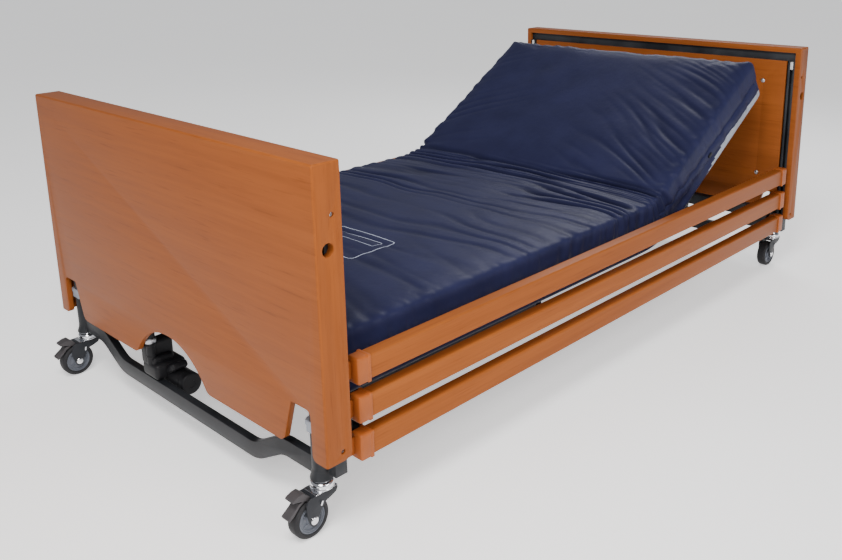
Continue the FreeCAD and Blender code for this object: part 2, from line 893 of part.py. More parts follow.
def make_chassis():
    """Two long tubes, their cross tubes, the corner arms and the lugs."""
    top = ("chassis_top - chassis_height", "chassis_top")
    inner = "chassis_half - chassis_tube"
    end = "chassis_end - chassis_tube"
    pieces = mirrored_x(lambda signed: tube(signed(inner, "chassis_half"), (f"-({end})", end), top, "y"))
    for y in ("chassis_end - chassis_tube / 2", "chassis_tube / 2 - chassis_end"):
        edges = (f"{y} - chassis_tube / 2", f"{y} + chassis_tube / 2")
        pieces.append(tube(("-cross_end_half", "cross_end_half"), edges, top, "x"))
    for y in CROSS_TUBES:
        edges = (f"{y} - chassis_tube / 2", f"{y} + chassis_tube / 2")
        pieces.append(tube((f"-({inner})", inner), edges, top, "x"))
    for arms in mirrored_pair(make_arms):
        pieces.append(arms)
    for hinge in ("back_hinge", "thigh_hinge"):
        pieces += chassis_lugs(hinge)
    return node("chassis", pieces)


CROSS_TUBES = ("-550", "-180", "455", "720")


def make_arms():
    """Cranked arms from the chassis corners to the lift columns."""
    x0, x1 = "column_x - 18", "column_x + 18"
    top = "column_foot + arm_thickness"

    def arm(signed):
        foot = "chassis_top - chassis_height"
        upright = block(signed(x0, x1), ("chassis_end", "chassis_end + 10"), (foot, top))
        shelf = block(signed(x0, x1), ("chassis_end + 10", COLUMN), ("column_foot", top))
        middle = signed("column_x", "column_x")[0]
        seat = cylinder("column_outer", "40", (middle, COLUMN, "column_foot - 20"))
        return cut(fuse(upright, shelf), seat)

    return mirrored_x(arm)


def make_section(low, high, half, slats, foot="deck_foot"):
    """One platform section: a square tube frame with steel slats on top."""
    z = (foot, "deck_foot + deck_tube")
    ends = [
        tube((f"-{half}", half), (low, f"{low} + deck_tube"), z, "x"),
        tube((f"-{half}", half), (f"{high} - deck_tube", high), z, "x"),
    ]
    sides = mirrored_x(
        lambda signed: tube(
            signed(f"{half} - deck_tube", half), (f"{low} + deck_tube", f"{high} - deck_tube"), z, "y"
        )
    )
    strips = []
    for index in range(slats):
        share = (index + 0.5) / slats
        middle = f"({low}) + {share:.4f} * (({high}) - ({low}))"
        strips.append(
            block(
                (f"-{half}", half),
                (f"{middle} - slat_width / 2", f"{middle} + slat_width / 2"),
                ("deck_foot + deck_tube", "deck_foot + deck_tube + slat"),
            )
        )
    return ends + sides + strips


def make_lever(hinge, x_middle, lean, slot, reach):
    """A pair of slotted plates under a section, pushed by an actuator's pin."""
    pivot = FreeCAD.Vector(0, VALUE[hinge], VALUE["hinge_height"])
    lean_by = FreeCAD.Placement(ORIGIN, FreeCAD.Rotation(X_AXIS, lean), pivot)
    low = "hinge_height - lever_radius - slot_length / 2 - 9"
    plates = []
    for start in (f"{x_middle} + lever_gap", f"{x_middle} - lever_gap - lever_thickness"):
        x = (start, f"{start} + lever_thickness")
        blade = block(x, (f"{hinge} - 17", f"{hinge} + 17"), (low, "deck_foot - 0.5"))
        window = block(
            (f"{start} - 1", f"{start} + lever_thickness + 1"),
            (f"{hinge} - {slot} / 2", f"{hinge} + {slot} / 2"),
            (
                "hinge_height - lever_radius - slot_length / 2",
                "hinge_height - lever_radius + slot_length / 2",
            ),
        )
        leaning = doc.addObject("Part::Compound", "blade")
        leaning.Links = [cut(blade, window)]
        leaning.Placement = lean_by
        foot = block(x, reach, ("deck_foot - 16", "deck_foot - 0.5"))
        limit = block(
            (f"{start} - 1", f"{start} + lever_thickness + 1"),
            (f"{hinge} - 200", f"{hinge} + 200"),
            ("0", "deck_foot - 0.5"),
        )
        trimmed = doc.addObject("Part::Common", "trimmed")
        trimmed.Base = fuse(leaning, foot)
        trimmed.Tool = limit
        plates.append(trimmed)
    return plates


def make_decks():
    """Seat, backrest, thigh and calf sections with their hinge plates."""
    gap = "hinge_gap"
    seat = make_section("thigh_hinge + 15", "back_hinge - 15", "deck_half", 2, "chassis_top")
    node("seat_deck", seat)

    back = make_section(f"back_hinge + {gap}", "back_end", "deck_half", 6)
    back += frame_lugs("back_hinge", 1)
    reach = ("back_hinge - 8", f"back_hinge + {gap} + deck_tube")
    back += make_lever("back_hinge", "-actuator_x", -VALUE["lever_lean"], "back_slot", reach)
    node("backrest_deck", back, BACKREST)

    thigh = make_section(f"knee_hinge + {gap}", f"thigh_hinge - {gap}", "deck_half", 3)
    thigh += frame_lugs("thigh_hinge", -1)
    thigh += frame_lugs("knee_hinge", 1)
    reach = (f"thigh_hinge - {gap} - deck_tube", "thigh_hinge + 8")
    thigh += make_lever("thigh_hinge", "actuator_x", VALUE["knee_lean"], "knee_slot", reach)
    node("thigh_deck", thigh)

    calf = make_section("calf_end", f"knee_hinge - {gap}", "calf_half", 6)
    edge = ("knee_hinge - hinge_gap", "knee_hinge")
    calf += lugs("knee_hinge", (edge, ("hinge_height - 8", "hinge_height + 8")), "0.5")
    node("calf_deck", calf)

    node("deck_pins", hinge_pins("back_hinge") + hinge_pins("thigh_hinge"))
    node("knee_pins", hinge_pins("knee_hinge"))


BACKREST = turned(VALUE["backrest_angle"], VALUE["back_hinge"], VALUE["hinge_height"])


# ------------------------------------------------------------------ actuators
def make_actuator(name, x, mouth, rear, pin_y, way):
    """An actuator under the platform: motor, outer tube, rod and cross pin."""
    axis = Y_AXIS if way > 0 else -Y_AXIS
    height = "actuator_height"
    sign = "+" if way > 0 else "-"
    back = "-" if way > 0 else "+"
    length = f"abs({mouth} - ({rear}))"
    outer = ring("actuator_tube", "rod_radius + rod_play", length, (x, rear, height), axis)
    sleeve_end = cylinder("actuator_tube + 3", "18", (x, f"{mouth} {back} 18", height), axis)
    sleeve_end = cut(sleeve_end, cylinder("rod_radius + rod_play", "20", (x, f"{mouth} {back} 19", height), axis))
    far = f"{rear} {back} 62"
    y = (far, rear) if way > 0 else (rear, far)
    gearbox = block((f"{x} - 34", f"{x} + 34"), y, (f"{height} - 32", "chassis_top - chassis_height"))
    gearbox = rounded(gearbox, "lug_thickness", lambda edge: runs_along(edge, Y_AXIS))
    motor = cylinder("motor_radius - 4.5", "150", (f"{x} + 52", f"{rear} {back} 60", f"{height} - 2"), axis)
    node(f"{name}_motor", [fuse(gearbox, motor), fuse(outer, sleeve_end)])

    inner_end = f"{mouth} {back} 240"
    rod_length = f"abs({pin_y} - ({inner_end})) - 8"
    rod = cylinder("rod_radius", rod_length, (x, inner_end, height), axis)
    eye = cylinder("12", "2 * lever_gap - 2", (f"{x} - lever_gap + 1", pin_y, height), X_AXIS)
    pin = cylinder("5", "2 * lever_gap + 2 * lever_thickness + 6", (f"{x} - lever_gap - lever_thickness - 3", pin_y, height), X_AXIS)
    node(f"{name}_rod", [fuse(rod, eye, pin)])


def make_control_box():
    """The control box under the calf section, with its row of sockets."""
    floor = "chassis_top - chassis_height - 62"
    case = block(("-110", "110"), ("-620", "-480"), (floor, "chassis_top - chassis_height"))
    case = rounded(case, "arm_thickness", lambda edge: runs_along(edge, Z_AXIS))
    sockets = [
        cylinder("9", "12", (f"{x}", "-480", f"{floor} + 30"), Y_AXIS) for x in range(-80, 81, 40)
    ]
    node("control_box", [fuse(case, *sockets)])


# ----------------------------------------------------------------- side rails
def make_rails():
    """Three bars a side, each with end caps that slide in the channels."""
    for side, sign in (("right", 1), ("left", -1)):
        for level, bar_name in enumerate(("low", "middle", "top")):
            middle = f"rail_low + {level} * rail_pitch"
            make_rail(f"{side}_rail_{bar_name}", middle, sign)


def signed_pair(sign, low, high):
    return (low, high) if sign > 0 else (f"-({high})", f"-({low})")


def make_rail(label, middle, sign):
    x = signed_pair(sign, "rail_outer - rail_thickness", "rail_outer")
    bar = block(
        x, ("-rail_half", "rail_half"), (f"{middle} - rail_height / 2", f"{middle} + rail_height / 2")
    )
    bar = rounded(bar, "rail_round", lambda edge: runs_along(edge, Y_AXIS))
    node(label, [bar])

    centre = "channel_inner_x + channel_width / 2"
    front = f"{END} - channel_inset - channel_depth"
    caps = []
    for way in (1, -1):
        cap = block(
            signed_pair(sign, "rail_outer - rail_thickness", "rail_outer + cap_proud"),
            signed_pair(way, "rail_half", "rail_half + cap_length"),
            (f"{middle} - cap_height / 2", f"{middle} + cap_height / 2"),
        )
        cap = rounded(cap, "rail_round", lambda edge: runs_along(edge, Y_AXIS))
        neck = block(
            signed_pair(sign, f"{centre} - slider_neck / 2", f"{centre} + slider_neck / 2"),
            signed_pair(way, "rail_half + cap_length - 2", f"{front} + channel_wall + 2"),
            (f"{middle} - slider_height / 2", f"{middle} + slider_height / 2"),
        )
        head = block(
            signed_pair(sign, f"{centre} - slider_width / 2", f"{centre} + slider_width / 2"),
            signed_pair(way, f"{front} + channel_wall + 1", f"{front} + channel_wall + 1 + slider_depth"),
            (f"{middle} - slider_height / 2", f"{middle} + slider_height / 2"),
        )
        caps.append(fuse(cap, neck, head))
    node(f"{label}_caps", caps)


# ------------------------------------------------------------------- mattress
def make_cushion(label, low_end, high_end, low_relief, high_relief, placement=None):
    """One mattress section, relieved so that it clears its neighbours."""
    body = new_body(label)
    drawing = sketch_on(body, "YZ_Plane")
    foot_rise = "(mattress_foot - hinge_height)"
    top_rise = "(mattress_top - hinge_height)"
    profile = [
        (f"{low_end} + {foot_rise} * {low_relief}", "mattress_foot"),
        (f"{high_end} - {foot_rise} * {high_relief}", "mattress_foot"),
        (f"{high_end} - {top_rise} * {high_relief}", "mattress_top"),
        (f"{low_end} + {top_rise} * {low_relief}", "mattress_top"),
    ]
    draw_outline(drawing, profile)
    pad(body, drawing, "2 * mattress_half", both_ways=True)
    if placement is not None:
        body.Placement = placement
    NODES[label] = body


def make_mattress():
    back = "tan(back_relief * 1deg)"
    thigh = "tan(thigh_relief * 1deg)"
    make_cushion("mattress_back", "back_hinge", "mattress_head_end", back, "0", BACKREST)
    make_cushion("mattress_seat", "thigh_hinge", "back_hinge", thigh, back)
    make_cushion("mattress_thigh", "knee_hinge + 0.5", "thigh_hinge", "0", thigh)
    make_cushion("mattress_calf", "mattress_foot_end", "knee_hinge - 0.5", "0", "0")


# ------------------------------------------------------------------- assembly
def build():
    for end in ("head", "foot"):
        make_board(end)
        make_leg_frame(end)
        make_lift(end)
        make_cups(end)
    node("inner_panels", mirrored_pair(make_inner_panel))
    node("panel_screws", mirrored_pair(make_panel_screws))
    node("board_bolts", mirrored_pair(make_board_bolts))
    node("end_frames", mirrored_pair(make_end_frame))
    node("lift_collars", mirrored_pair(make_collars))
    node("rail_channels", mirrored_pair(make_channels))
    node("channel_stops", mirrored_pair(make_stops))
    node("lift_rods", mirrored_pair(make_lift_rod))
    for corner in CORNERS:
        make_castor(corner)
    for corner in ("foot_right", "foot_left"):
        make_pedal(corner)
    make_chassis()
    make_decks()
    rest_lean = math.radians(VALUE["backrest_angle"] - VALUE["lever_lean"])
    drop = VALUE["hinge_height"] - VALUE["actuator_height"]
    back_pin = VALUE["back_hinge"] + drop * math.tan(rest_lean)
    knee_pin = VALUE["thigh_hinge"] + drop * math.tan(math.radians(VALUE["knee_lean"]))
    make_actuator("backrest", "-actuator_x", "165", "-148", f"{back_pin:.4f}", 1)
    make_actuator("knee", "actuator_x", "150", "423", f"{knee_pin:.4f}", -1)
    make_control_box()
    make_rails()
    make_mattress()


def check():
    """Stops if any object or any node's shape is faulty."""
    doc.recompute()
    for item in doc.Objects:
        if "Invalid" in item.State or "Error" in item.State:
            raise RuntimeError(f"{item.Label} failed: {item.State}")
    for label, item in NODES.items():
        if item.Shape.isNull() or not item.Shape.isValid() or not item.Shape.Solids:
            raise RuntimeError(f"{label} has no sound shape")


def centre_footprint():
    """Moves the whole bed so that the origin is the centre of its floor plan."""
    extent = FreeCAD.BoundBox()
    for item in NODES.values():
        extent.add(item.Shape.BoundBox)
    shift = -(extent.YMin + extent.YMax) / 2
    for item in NODES.values():
        here = item.Placement
        item.Placement = FreeCAD.Placement(here.Base + FreeCAD.Vector(0, shift, 0), here.Rotation)
    doc.recompute()
    return shift


def export():
    os.makedirs("parts", exist_ok=True)
    for label, item in NODES.items():
        item.Shape.exportStep(os.path.join("parts", f"{label}.step"))


build()
check()
shift = centre_footprint()
check()
export()
print(f"{len(NODES)} nodes, footprint shift {shift:.4f} mm")
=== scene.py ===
import json
import math

import bmesh
import bpy
import numpy as np
from mathutils import Matrix, Vector
from mathutils.bvhtree import BVHTree

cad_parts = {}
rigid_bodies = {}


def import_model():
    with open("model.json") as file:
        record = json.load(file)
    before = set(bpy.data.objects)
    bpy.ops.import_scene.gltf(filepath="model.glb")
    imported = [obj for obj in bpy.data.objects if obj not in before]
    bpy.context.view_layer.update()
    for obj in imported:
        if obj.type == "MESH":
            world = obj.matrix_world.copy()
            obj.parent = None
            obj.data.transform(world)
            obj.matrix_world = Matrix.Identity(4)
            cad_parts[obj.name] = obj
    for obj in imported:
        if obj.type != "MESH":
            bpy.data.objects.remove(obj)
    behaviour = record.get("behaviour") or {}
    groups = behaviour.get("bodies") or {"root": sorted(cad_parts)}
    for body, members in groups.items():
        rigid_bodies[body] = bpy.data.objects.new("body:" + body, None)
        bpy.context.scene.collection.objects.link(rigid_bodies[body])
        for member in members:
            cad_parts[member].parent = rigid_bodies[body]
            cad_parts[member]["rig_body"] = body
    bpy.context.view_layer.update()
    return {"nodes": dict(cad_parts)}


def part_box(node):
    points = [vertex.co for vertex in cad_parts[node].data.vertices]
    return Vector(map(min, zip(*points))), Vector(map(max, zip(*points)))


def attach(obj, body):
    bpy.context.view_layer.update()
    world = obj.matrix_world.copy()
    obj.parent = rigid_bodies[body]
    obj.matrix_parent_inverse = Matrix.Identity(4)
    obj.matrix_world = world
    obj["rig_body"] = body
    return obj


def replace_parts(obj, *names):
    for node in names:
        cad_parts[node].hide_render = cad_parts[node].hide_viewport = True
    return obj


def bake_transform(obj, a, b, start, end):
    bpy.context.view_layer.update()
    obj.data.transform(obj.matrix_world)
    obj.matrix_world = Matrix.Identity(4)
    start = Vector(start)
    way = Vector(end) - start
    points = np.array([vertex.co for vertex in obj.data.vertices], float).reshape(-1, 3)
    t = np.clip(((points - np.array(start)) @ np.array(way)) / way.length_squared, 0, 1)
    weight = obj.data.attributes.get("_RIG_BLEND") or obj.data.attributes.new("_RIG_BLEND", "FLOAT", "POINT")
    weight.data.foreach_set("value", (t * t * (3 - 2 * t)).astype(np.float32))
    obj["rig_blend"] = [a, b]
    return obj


# Looks for the adjustable hospital bed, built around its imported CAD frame.
# Metres, +Z up, +Y towards the head end.

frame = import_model()
NODES = frame["nodes"]
X, Y, Z = Vector((1, 0, 0)), Vector((0, 1, 0)), Vector((0, 0, 1))
CENTRE_Y = (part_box("head_board")[1].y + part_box("foot_board")[0].y) / 2
LEG_X, LEG_Y = 0.534, 1.056  # a column, from the bed's middle


def link(thing):
    """Shows an object in the scene."""
    bpy.context.scene.collection.objects.link(thing)


def write_mesh(name, work):
    """Turns a bmesh into a mesh and frees it."""
    mesh = bpy.data.meshes.new(name)
    work.to_mesh(mesh)
    work.free()
    return mesh


def leg_centre(sx, sy):
    """The foot of a column; sx and sy say which corner."""
    return Vector((sx * LEG_X, CENTRE_Y + sy * LEG_Y, 0))


# ---- materials
class Finish:
    """A procedural material: a Principled shader fed by a few texture nodes."""

    def __init__(self, name, colour, rough, metal=0.0, **sockets):
        self.material = bpy.data.materials.new(name)
        self.material.use_nodes = True
        self.tree = self.material.node_tree
        self.shader = self.tree.nodes["Principled BSDF"]
        self.shader.inputs["Base Color"].default_value = (*colour, 1)
        self.shader.inputs["Roughness"].default_value = rough
        self.shader.inputs["Metallic"].default_value = metal
        for key, value in sockets.items():
            self.shader.inputs[key.replace("_", " ")].default_value = value
        self.place = self.node("ShaderNodeTexCoord").outputs["Object"]
        self.normal = None

    def node(self, kind, **values):
        made = self.tree.nodes.new(kind)
        for key, value in values.items():
            setattr(made, key, value)
        return made

    def link(self, source, target):
        self.tree.links.new(source, target)

    def stretched(self, scale, source=None):
        mapping = self.node("ShaderNodeMapping")
        mapping.inputs["Scale"].default_value = scale
        self.link(source or self.place, mapping.inputs["Vector"])
        return mapping.outputs["Vector"]

    def noise(self, scale, detail=4.0, rough=0.55, at=None, distortion=0.0):
        made = self.node("ShaderNodeTexNoise")
        for key, value in (("Scale", scale), ("Detail", detail), ("Roughness", rough), ("Distortion", distortion)):
            made.inputs[key].default_value = value
        self.link(at or self.place, made.inputs["Vector"])
        return made.outputs["Fac"]

    def ramp(self, value, stops):
        made = self.node("ShaderNodeValToRGB")
        while len(made.color_ramp.elements) < len(stops):
            made.color_ramp.elements.new(0.5)
        for element, (at, colour) in zip(made.color_ramp.elements, stops):
            element.position = at
            element.color = (*colour, 1)
        self.link(value, made.inputs["Fac"])
        return made.outputs["Color"]

    def mix(self, share, low, high, kind="MIX"):
        made = self.node("ShaderNodeMix", data_type="RGBA", blend_type=kind)
        if isinstance(share, float):
            made.inputs[0].default_value = share
        else:
            self.link(share, made.inputs[0])
        for socket, value in ((made.inputs[6], low), (made.inputs[7], high)):
            if isinstance(value, tuple):
                socket.default_value = (*value, 1)
            else:
                self.link(value, socket)
        return made.outputs[2]

    def between(self, value, low, high):
        made = self.node("ShaderNodeMapRange")
        made.inputs["To Min"].default_value = low
        made.inputs["To Max"].default_value = high
        self.link(value, made.inputs["Value"])
        return made.outputs["Result"]

    def colour(self, source):
        self.link(source, self.shader.inputs["Base Color"])

    def roughness(self, value, low, high):
        self.link(self.between(value, low, high), self.shader.inputs["Roughness"])

    def bump(self, value, depth):
        made = self.node("ShaderNodeBump")
        made.inputs["Strength"].default_value = 1.0
        made.inputs["Distance"].default_value = depth
        self.link(value, made.inputs["Height"])
        if self.normal:
            self.link(self.normal, made.inputs["Normal"])
        self.normal = made.outputs["Normal"]
        self.link(self.normal, self.shader.inputs["Normal"])


def laminate(name, light, dark, face, edge):
    """Printed wood foil; its grain runs along the scale's small number."""
    made = Finish(name, light, 0.42, Specular_IOR_Level=0.07)
    geometry = made.node("ShaderNodeTexCoord")
    split = made.node("ShaderNodeSeparateXYZ")
    made.link(geometry.outputs["Normal"], split.inputs[0])
    size = made.node("ShaderNodeMath", operation="ABSOLUTE")
    made.link(split.outputs["X"], size.inputs[0])
    side = made.node("ShaderNodeMath", operation="GREATER_THAN")
    made.link(size.outputs[0], side.inputs[0])
    side.inputs[1].default_value = 0.7

    def layer(factor, detail, distortion=0.0):
        parts = [
            made.noise(1.0, detail, 0.6, made.stretched([v * factor for v in way]), distortion)
            for way in (face, edge)
        ]
        blend = made.node("ShaderNodeMix", data_type="FLOAT")
        made.link(side.outputs[0], blend.inputs[0])
        made.link(parts[0], blend.inputs[2])
        made.link(parts[1], blend.inputs[3])
        return blend.outputs[0]

    broad = layer(0.35, 2.0, 0.15)
    fine = layer(3.0, 6.0)
    pores = layer(7.0, 3.0)
    tone = made.ramp(broad, [(0.3, dark), (0.72, light)])
    streak = made.ramp(fine, [(0.38, (0.8, 0.76, 0.72)), (0.62, (1.0, 1.0, 1.0))])
    tone = made.mix(0.55, tone, streak, "MULTIPLY")
    fleck = made.ramp(pores, [(0.28, (0.62, 0.52, 0.45)), (0.42, (1.0, 1.0, 1.0))])
    made.colour(made.mix(0.5, tone, fleck, "MULTIPLY"))
    made.roughness(fine, 0.3, 0.42)
    made.bump(pores, 0.00006)
    return made.material


def steel(name, colour, rough=0.45, grain=700.0):
    """Powder coat: an orange-peel skin, a little dust and paler rubbed spots."""
    made = Finish(name, colour, rough, 0.0, Specular_IOR_Level=0.2)
    cloud = made.noise(9.0, 5.0)
    peel = made.noise(grain, 2.0)
    paler = tuple(min(1.0, v * 1.35 + 0.012) for v in colour)
    darker = tuple(v * 0.82 for v in colour)
    made.colour(made.ramp(cloud, [(0.35, darker), (0.68, paler)]))
    made.roughness(cloud, rough - 0.07, rough + 0.1)
    made.bump(peel, 0.00009)
    return made.material


def moulded(name, colour, rough=0.5, grain=1600.0, depth=0.00006, spread=0.12):
    """Moulded plastic with a fine eroded texture and slight mottling."""
    made = Finish(name, colour, rough, 0.0, Specular_IOR_Level=0.2)
    cloud = made.noise(22.0, 4.0)
    spark = made.noise(grain, 2.0)
    low = tuple(v * (1 - spread) for v in colour)
    high = tuple(min(1.0, v * (1 + spread)) for v in colour)
    made.colour(made.ramp(cloud, [(0.3, low), (0.7, high)]))
    made.roughness(cloud, rough - 0.06, rough + 0.08)
    made.bump(spark, depth)
    return made.material


def plated(name, colour, rough, brushed=(220.0, 220.0, 12.0)):
    """Bright plating or zinc, with hairline polishing marks and smudges."""
    made = Finish(name, colour, rough, 1.0)
    lines = made.noise(1.0, 3.0, 0.6, made.stretched(brushed))
    smudge = made.noise(30.0, 3.0)
    dull = tuple(v * 0.86 for v in colour)
    made.colour(made.ramp(smudge, [(0.3, dull), (0.65, colour)]))
    made.roughness(smudge, rough * 0.7, rough * 1.6)
    made.bump(lines, 0.00002)
    return made.material


def cover(name, colour, depth):
    """Coated stretch knit: a fine weave bump, soft sheen, faint mottling and painted shade in the crease valleys.
    """
    made = Finish(
        name, colour, 0.42,
        Sheen_Weight=0.03, Sheen_Roughness=0.45, Sheen_Tint=(0.62, 0.68, 1.0, 1), Specular_IOR_Level=0.085,
    )
    cloud = made.noise(7.0, 5.0, 0.6)
    low = tuple(v * 0.86 for v in colour)
    high = tuple(v * 1.14 for v in colour)
    # Painted shade: the crease depth darkens the base colour in the fold valleys, where shadow falls.
    shade = made.node("ShaderNodeAttribute", attribute_name="crease").outputs["Fac"]
    painted_crease_shade = made.ramp(shade, [(0.0, (1.0, 1.0, 1.0)), (1.0, (0.42, 0.42, 0.46))])
    made.colour(made.mix(1.0, made.ramp(cloud, [(0.32, low), (0.7, high)]), painted_crease_shade, "MULTIPLY"))
    made.roughness(cloud, 0.36, 0.5)
    weave = made.node("ShaderNodeTexVoronoi", feature="F1")
    weave.inputs["Scale"].default_value = 520.0
    made.link(made.place, weave.inputs["Vector"])
    made.bump(weave.outputs["Distance"], depth)
    made.bump(made.noise(48.0, 4.0, 0.6), depth * 5)
    return made.material


def make_finishes():
    orange, deep = (0.285, 0.081, 0.0182), (0.248, 0.068, 0.0148)
    grey = (0.0185, 0.0203, 0.024)
    table = {
        "laminate": (laminate, orange, deep, (1.1, 30, 26), (26, 30, 1.6)),
        "rail_laminate": (laminate, (0.318, 0.095, 0.021), (0.262, 0.073, 0.0155), (38, 1.0, 38), (38, 1.0, 38)),
        "cap_plastic": (moulded, (0.3, 0.076, 0.015), 0.34),
        "dark_steel": (steel, grey),
        "leg_steel": (steel, (0.0115, 0.0128, 0.0155), 0.4),
        "chrome": (plated, (0.78, 0.79, 0.82), 0.13),
        "zinc": (plated, (0.5, 0.5, 0.52), 0.3),
        "collar_plastic": (moulded, (0.27, 0.29, 0.33), 0.48),
        "stop_plastic": (moulded, (0.62, 0.62, 0.6), 0.45),
        "motor_plastic": (moulded, (0.0095, 0.0095, 0.011), 0.46, 900.0, 0.0001),
        "castor_plastic": (moulded, (0.019, 0.0205, 0.0245), 0.36),
        "hub_plastic": (moulded, (0.118, 0.128, 0.152), 0.34),
        "tyre_rubber": (moulded, (0.02, 0.02, 0.022), 0.6, 1200.0, 0.0001, 0.2),
        "pedal_plastic": (moulded, (0.056, 0.052, 0.055), 0.46),
        "mattress_cover": (cover, (0.0163, 0.018, 0.053), 0.00012),
        "mattress_base": (cover, (0.3, 0.32, 0.36), 0.0001),
        "label_print": (moulded, (0.42, 0.46, 0.58), 0.6),
    }
    return {name: make(name, *values) for name, (make, *values) in table.items()}


FINISH = make_finishes()
SHARP = 38  # degrees; a sharper turn than this keeps its edge


# ---- mesh helpers
def add_object(name, mesh, finish, body):
    """Links a mesh as a piece that rides on a body and has one finish."""
    made = bpy.data.objects.new(name, mesh)
    link(made)
    if not mesh.materials:
        mesh.materials.append(FINISH[finish])
    if body:
        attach(made, body)
    return made


def finish_mesh(name, work):
    """Writes a bmesh out with outward normals, smooth but for its sharp edges."""
    bmesh.ops.recalc_face_normals(work, faces=work.faces)
    mesh = write_mesh(name, work)
    mesh.shade_smooth()
    mesh.set_sharp_from_angle(angle=math.radians(SHARP))
    return mesh


def bevel(work, edges, width, segments, profile):
    bmesh.ops.bevel(
        work, geom=list(edges), offset=width, segments=segments, profile=profile,
        affect="EDGES", clamp_overlap=True,
    )


def rounded_copy(node, finish, width=0.0012, segments=2):
    """Stands for a CAD node with its edges rounded, exactly where it was."""
    work = bmesh.new()
    work.from_mesh(NODES[node].data)
    bmesh.ops.remove_doubles(work, verts=work.verts, dist=0.00001)
    bmesh.ops.dissolve_limit(work, angle_limit=math.radians(0.6), verts=work.verts, edges=work.edges)
    turn = math.radians(30)
    edges = [e for e in work.edges if len(e.link_faces) == 2 and e.calc_face_angle(0) > turn]
    bevel(work, edges, width, segments, 0.6)
    mesh = finish_mesh(f"{node}_look", work)
    made = add_object(f"{node}_look", mesh, finish, NODES[node]["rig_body"])
    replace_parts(made, node)
    return made


def turn_to(axis):
    """The rotation that takes +Z to an axis."""
    return Z.rotation_difference(Vector(axis)).to_matrix().to_4x4()


def lathe(work, profile, centre, axis=Z, steps=56, closed=False):
    """Adds a turned solid; the profile is pairs of radius and height."""
    spin = Matrix.Translation(centre) @ turn_to(axis)
    rings = []
    for radius, height in profile:
        if radius < 1e-6:
            rings.append([work.verts.new(spin @ Vector((0, 0, height)))])
            continue
        ring = []
        for n in range(steps):
            a = 2 * math.pi * n / steps
            ring.append(work.verts.new(spin @ Vector((radius * math.cos(a), radius * math.sin(a), height))))
        rings.append(ring)
    pairs = list(zip(rings, rings[1:]))
    if closed:
        pairs.append((rings[-1], rings[0]))
    for low, high in pairs:
        for n in range(steps):
            m = (n + 1) % steps
            if len(low) == 1 and len(high) == 1:
                break
            if len(low) == 1:
                work.faces.new((low[0], high[m], high[n]))
            elif len(high) == 1:
                work.faces.new((low[n], low[m], high[0]))
            else:
                work.faces.new((low[n], low[m], high[m], high[n]))


def arc(radius, start, stop, across, up, steps=6):
    """Points of a circular arc in a lathe profile, angles in degrees."""
    points = []
    for n in range(steps + 1):
        a = math.radians(start + (stop - start) * n / steps)
        points.append((across + radius * math.cos(a), up + radius * math.sin(a)))
    return points


def slab(work, low, high, width=0.0, segments=3, turn=None):
    """Adds a box, its edges rounded, turned about its own middle if asked."""
    low, high = Vector(low), Vector(high)
    size, centre = high - low, (high + low) / 2
    matrix = Matrix.Translation(centre)
    if turn is not None:
        matrix = matrix @ turn
    matrix = matrix @ Matrix.Diagonal((*size, 1))
    made = bmesh.ops.create_cube(work, size=1.0, matrix=matrix)
    if width:
        edges = {e for v in made["verts"] for e in v.link_edges}
        bevel(work, edges, width, segments, 0.5)


def prism(work, outline, low, high, width=0.0, segments=3):
    """Adds an outline in Y and Z, made thick from low to high along X."""
    rings = [[work.verts.new((x, y, z)) for y, z in outline] for x in (low, high)]
    count = len(outline)
    faces = [work.faces.new(rings[0]), work.faces.new(list(reversed(rings[1])))]
    for n in range(count):
        m = (n + 1) % count
        faces.append(work.faces.new((rings[0][n], rings[0][m], rings[1][m], rings[1][n])))
    bmesh.ops.recalc_face_normals(work, faces=faces)
    if width:
        edges = {e for f in faces for e in f.edges if e.calc_face_angle(0) > 0.3}
        bevel(work, edges, width, segments, 0.55)


def piece(name, finish, body, build):
    """A piece made by build(work), which adds its solids to a bmesh."""
    work = bmesh.new()
    build(work)
    return add_object(name, finish_mesh(name, work), finish, body)


# ---- frames and woodwork
def build_steel_and_wood():
    """Rounded copies of the CAD pieces whose own shape is already right."""
    plain = {
        "laminate": ("head_board", "foot_board", "inner_panels"),
        "dark_steel": (
            "end_frames", "rail_channels", "chassis", "seat_deck", "backrest_deck", "thigh_deck", "calf_deck"
        ),
        "stop_plastic": ("channel_stops",),
        "zinc": ("deck_pins", "knee_pins"),
        "chrome": ("lift_rods", "backrest_rod", "knee_rod"),
        "leg_steel": ("head_leg_frame", "foot_leg_frame"),
    }
    for finish, nodes in plain.items():
        for node in nodes:
            rounded_copy(node, finish, 0.0008 if finish in ("laminate", "zinc") else 0.0014)
    for side in ("right", "left"):
        for level in ("top", "middle", "low"):
            rounded_copy(f"{side}_rail_{level}", "rail_laminate", 0.0006)


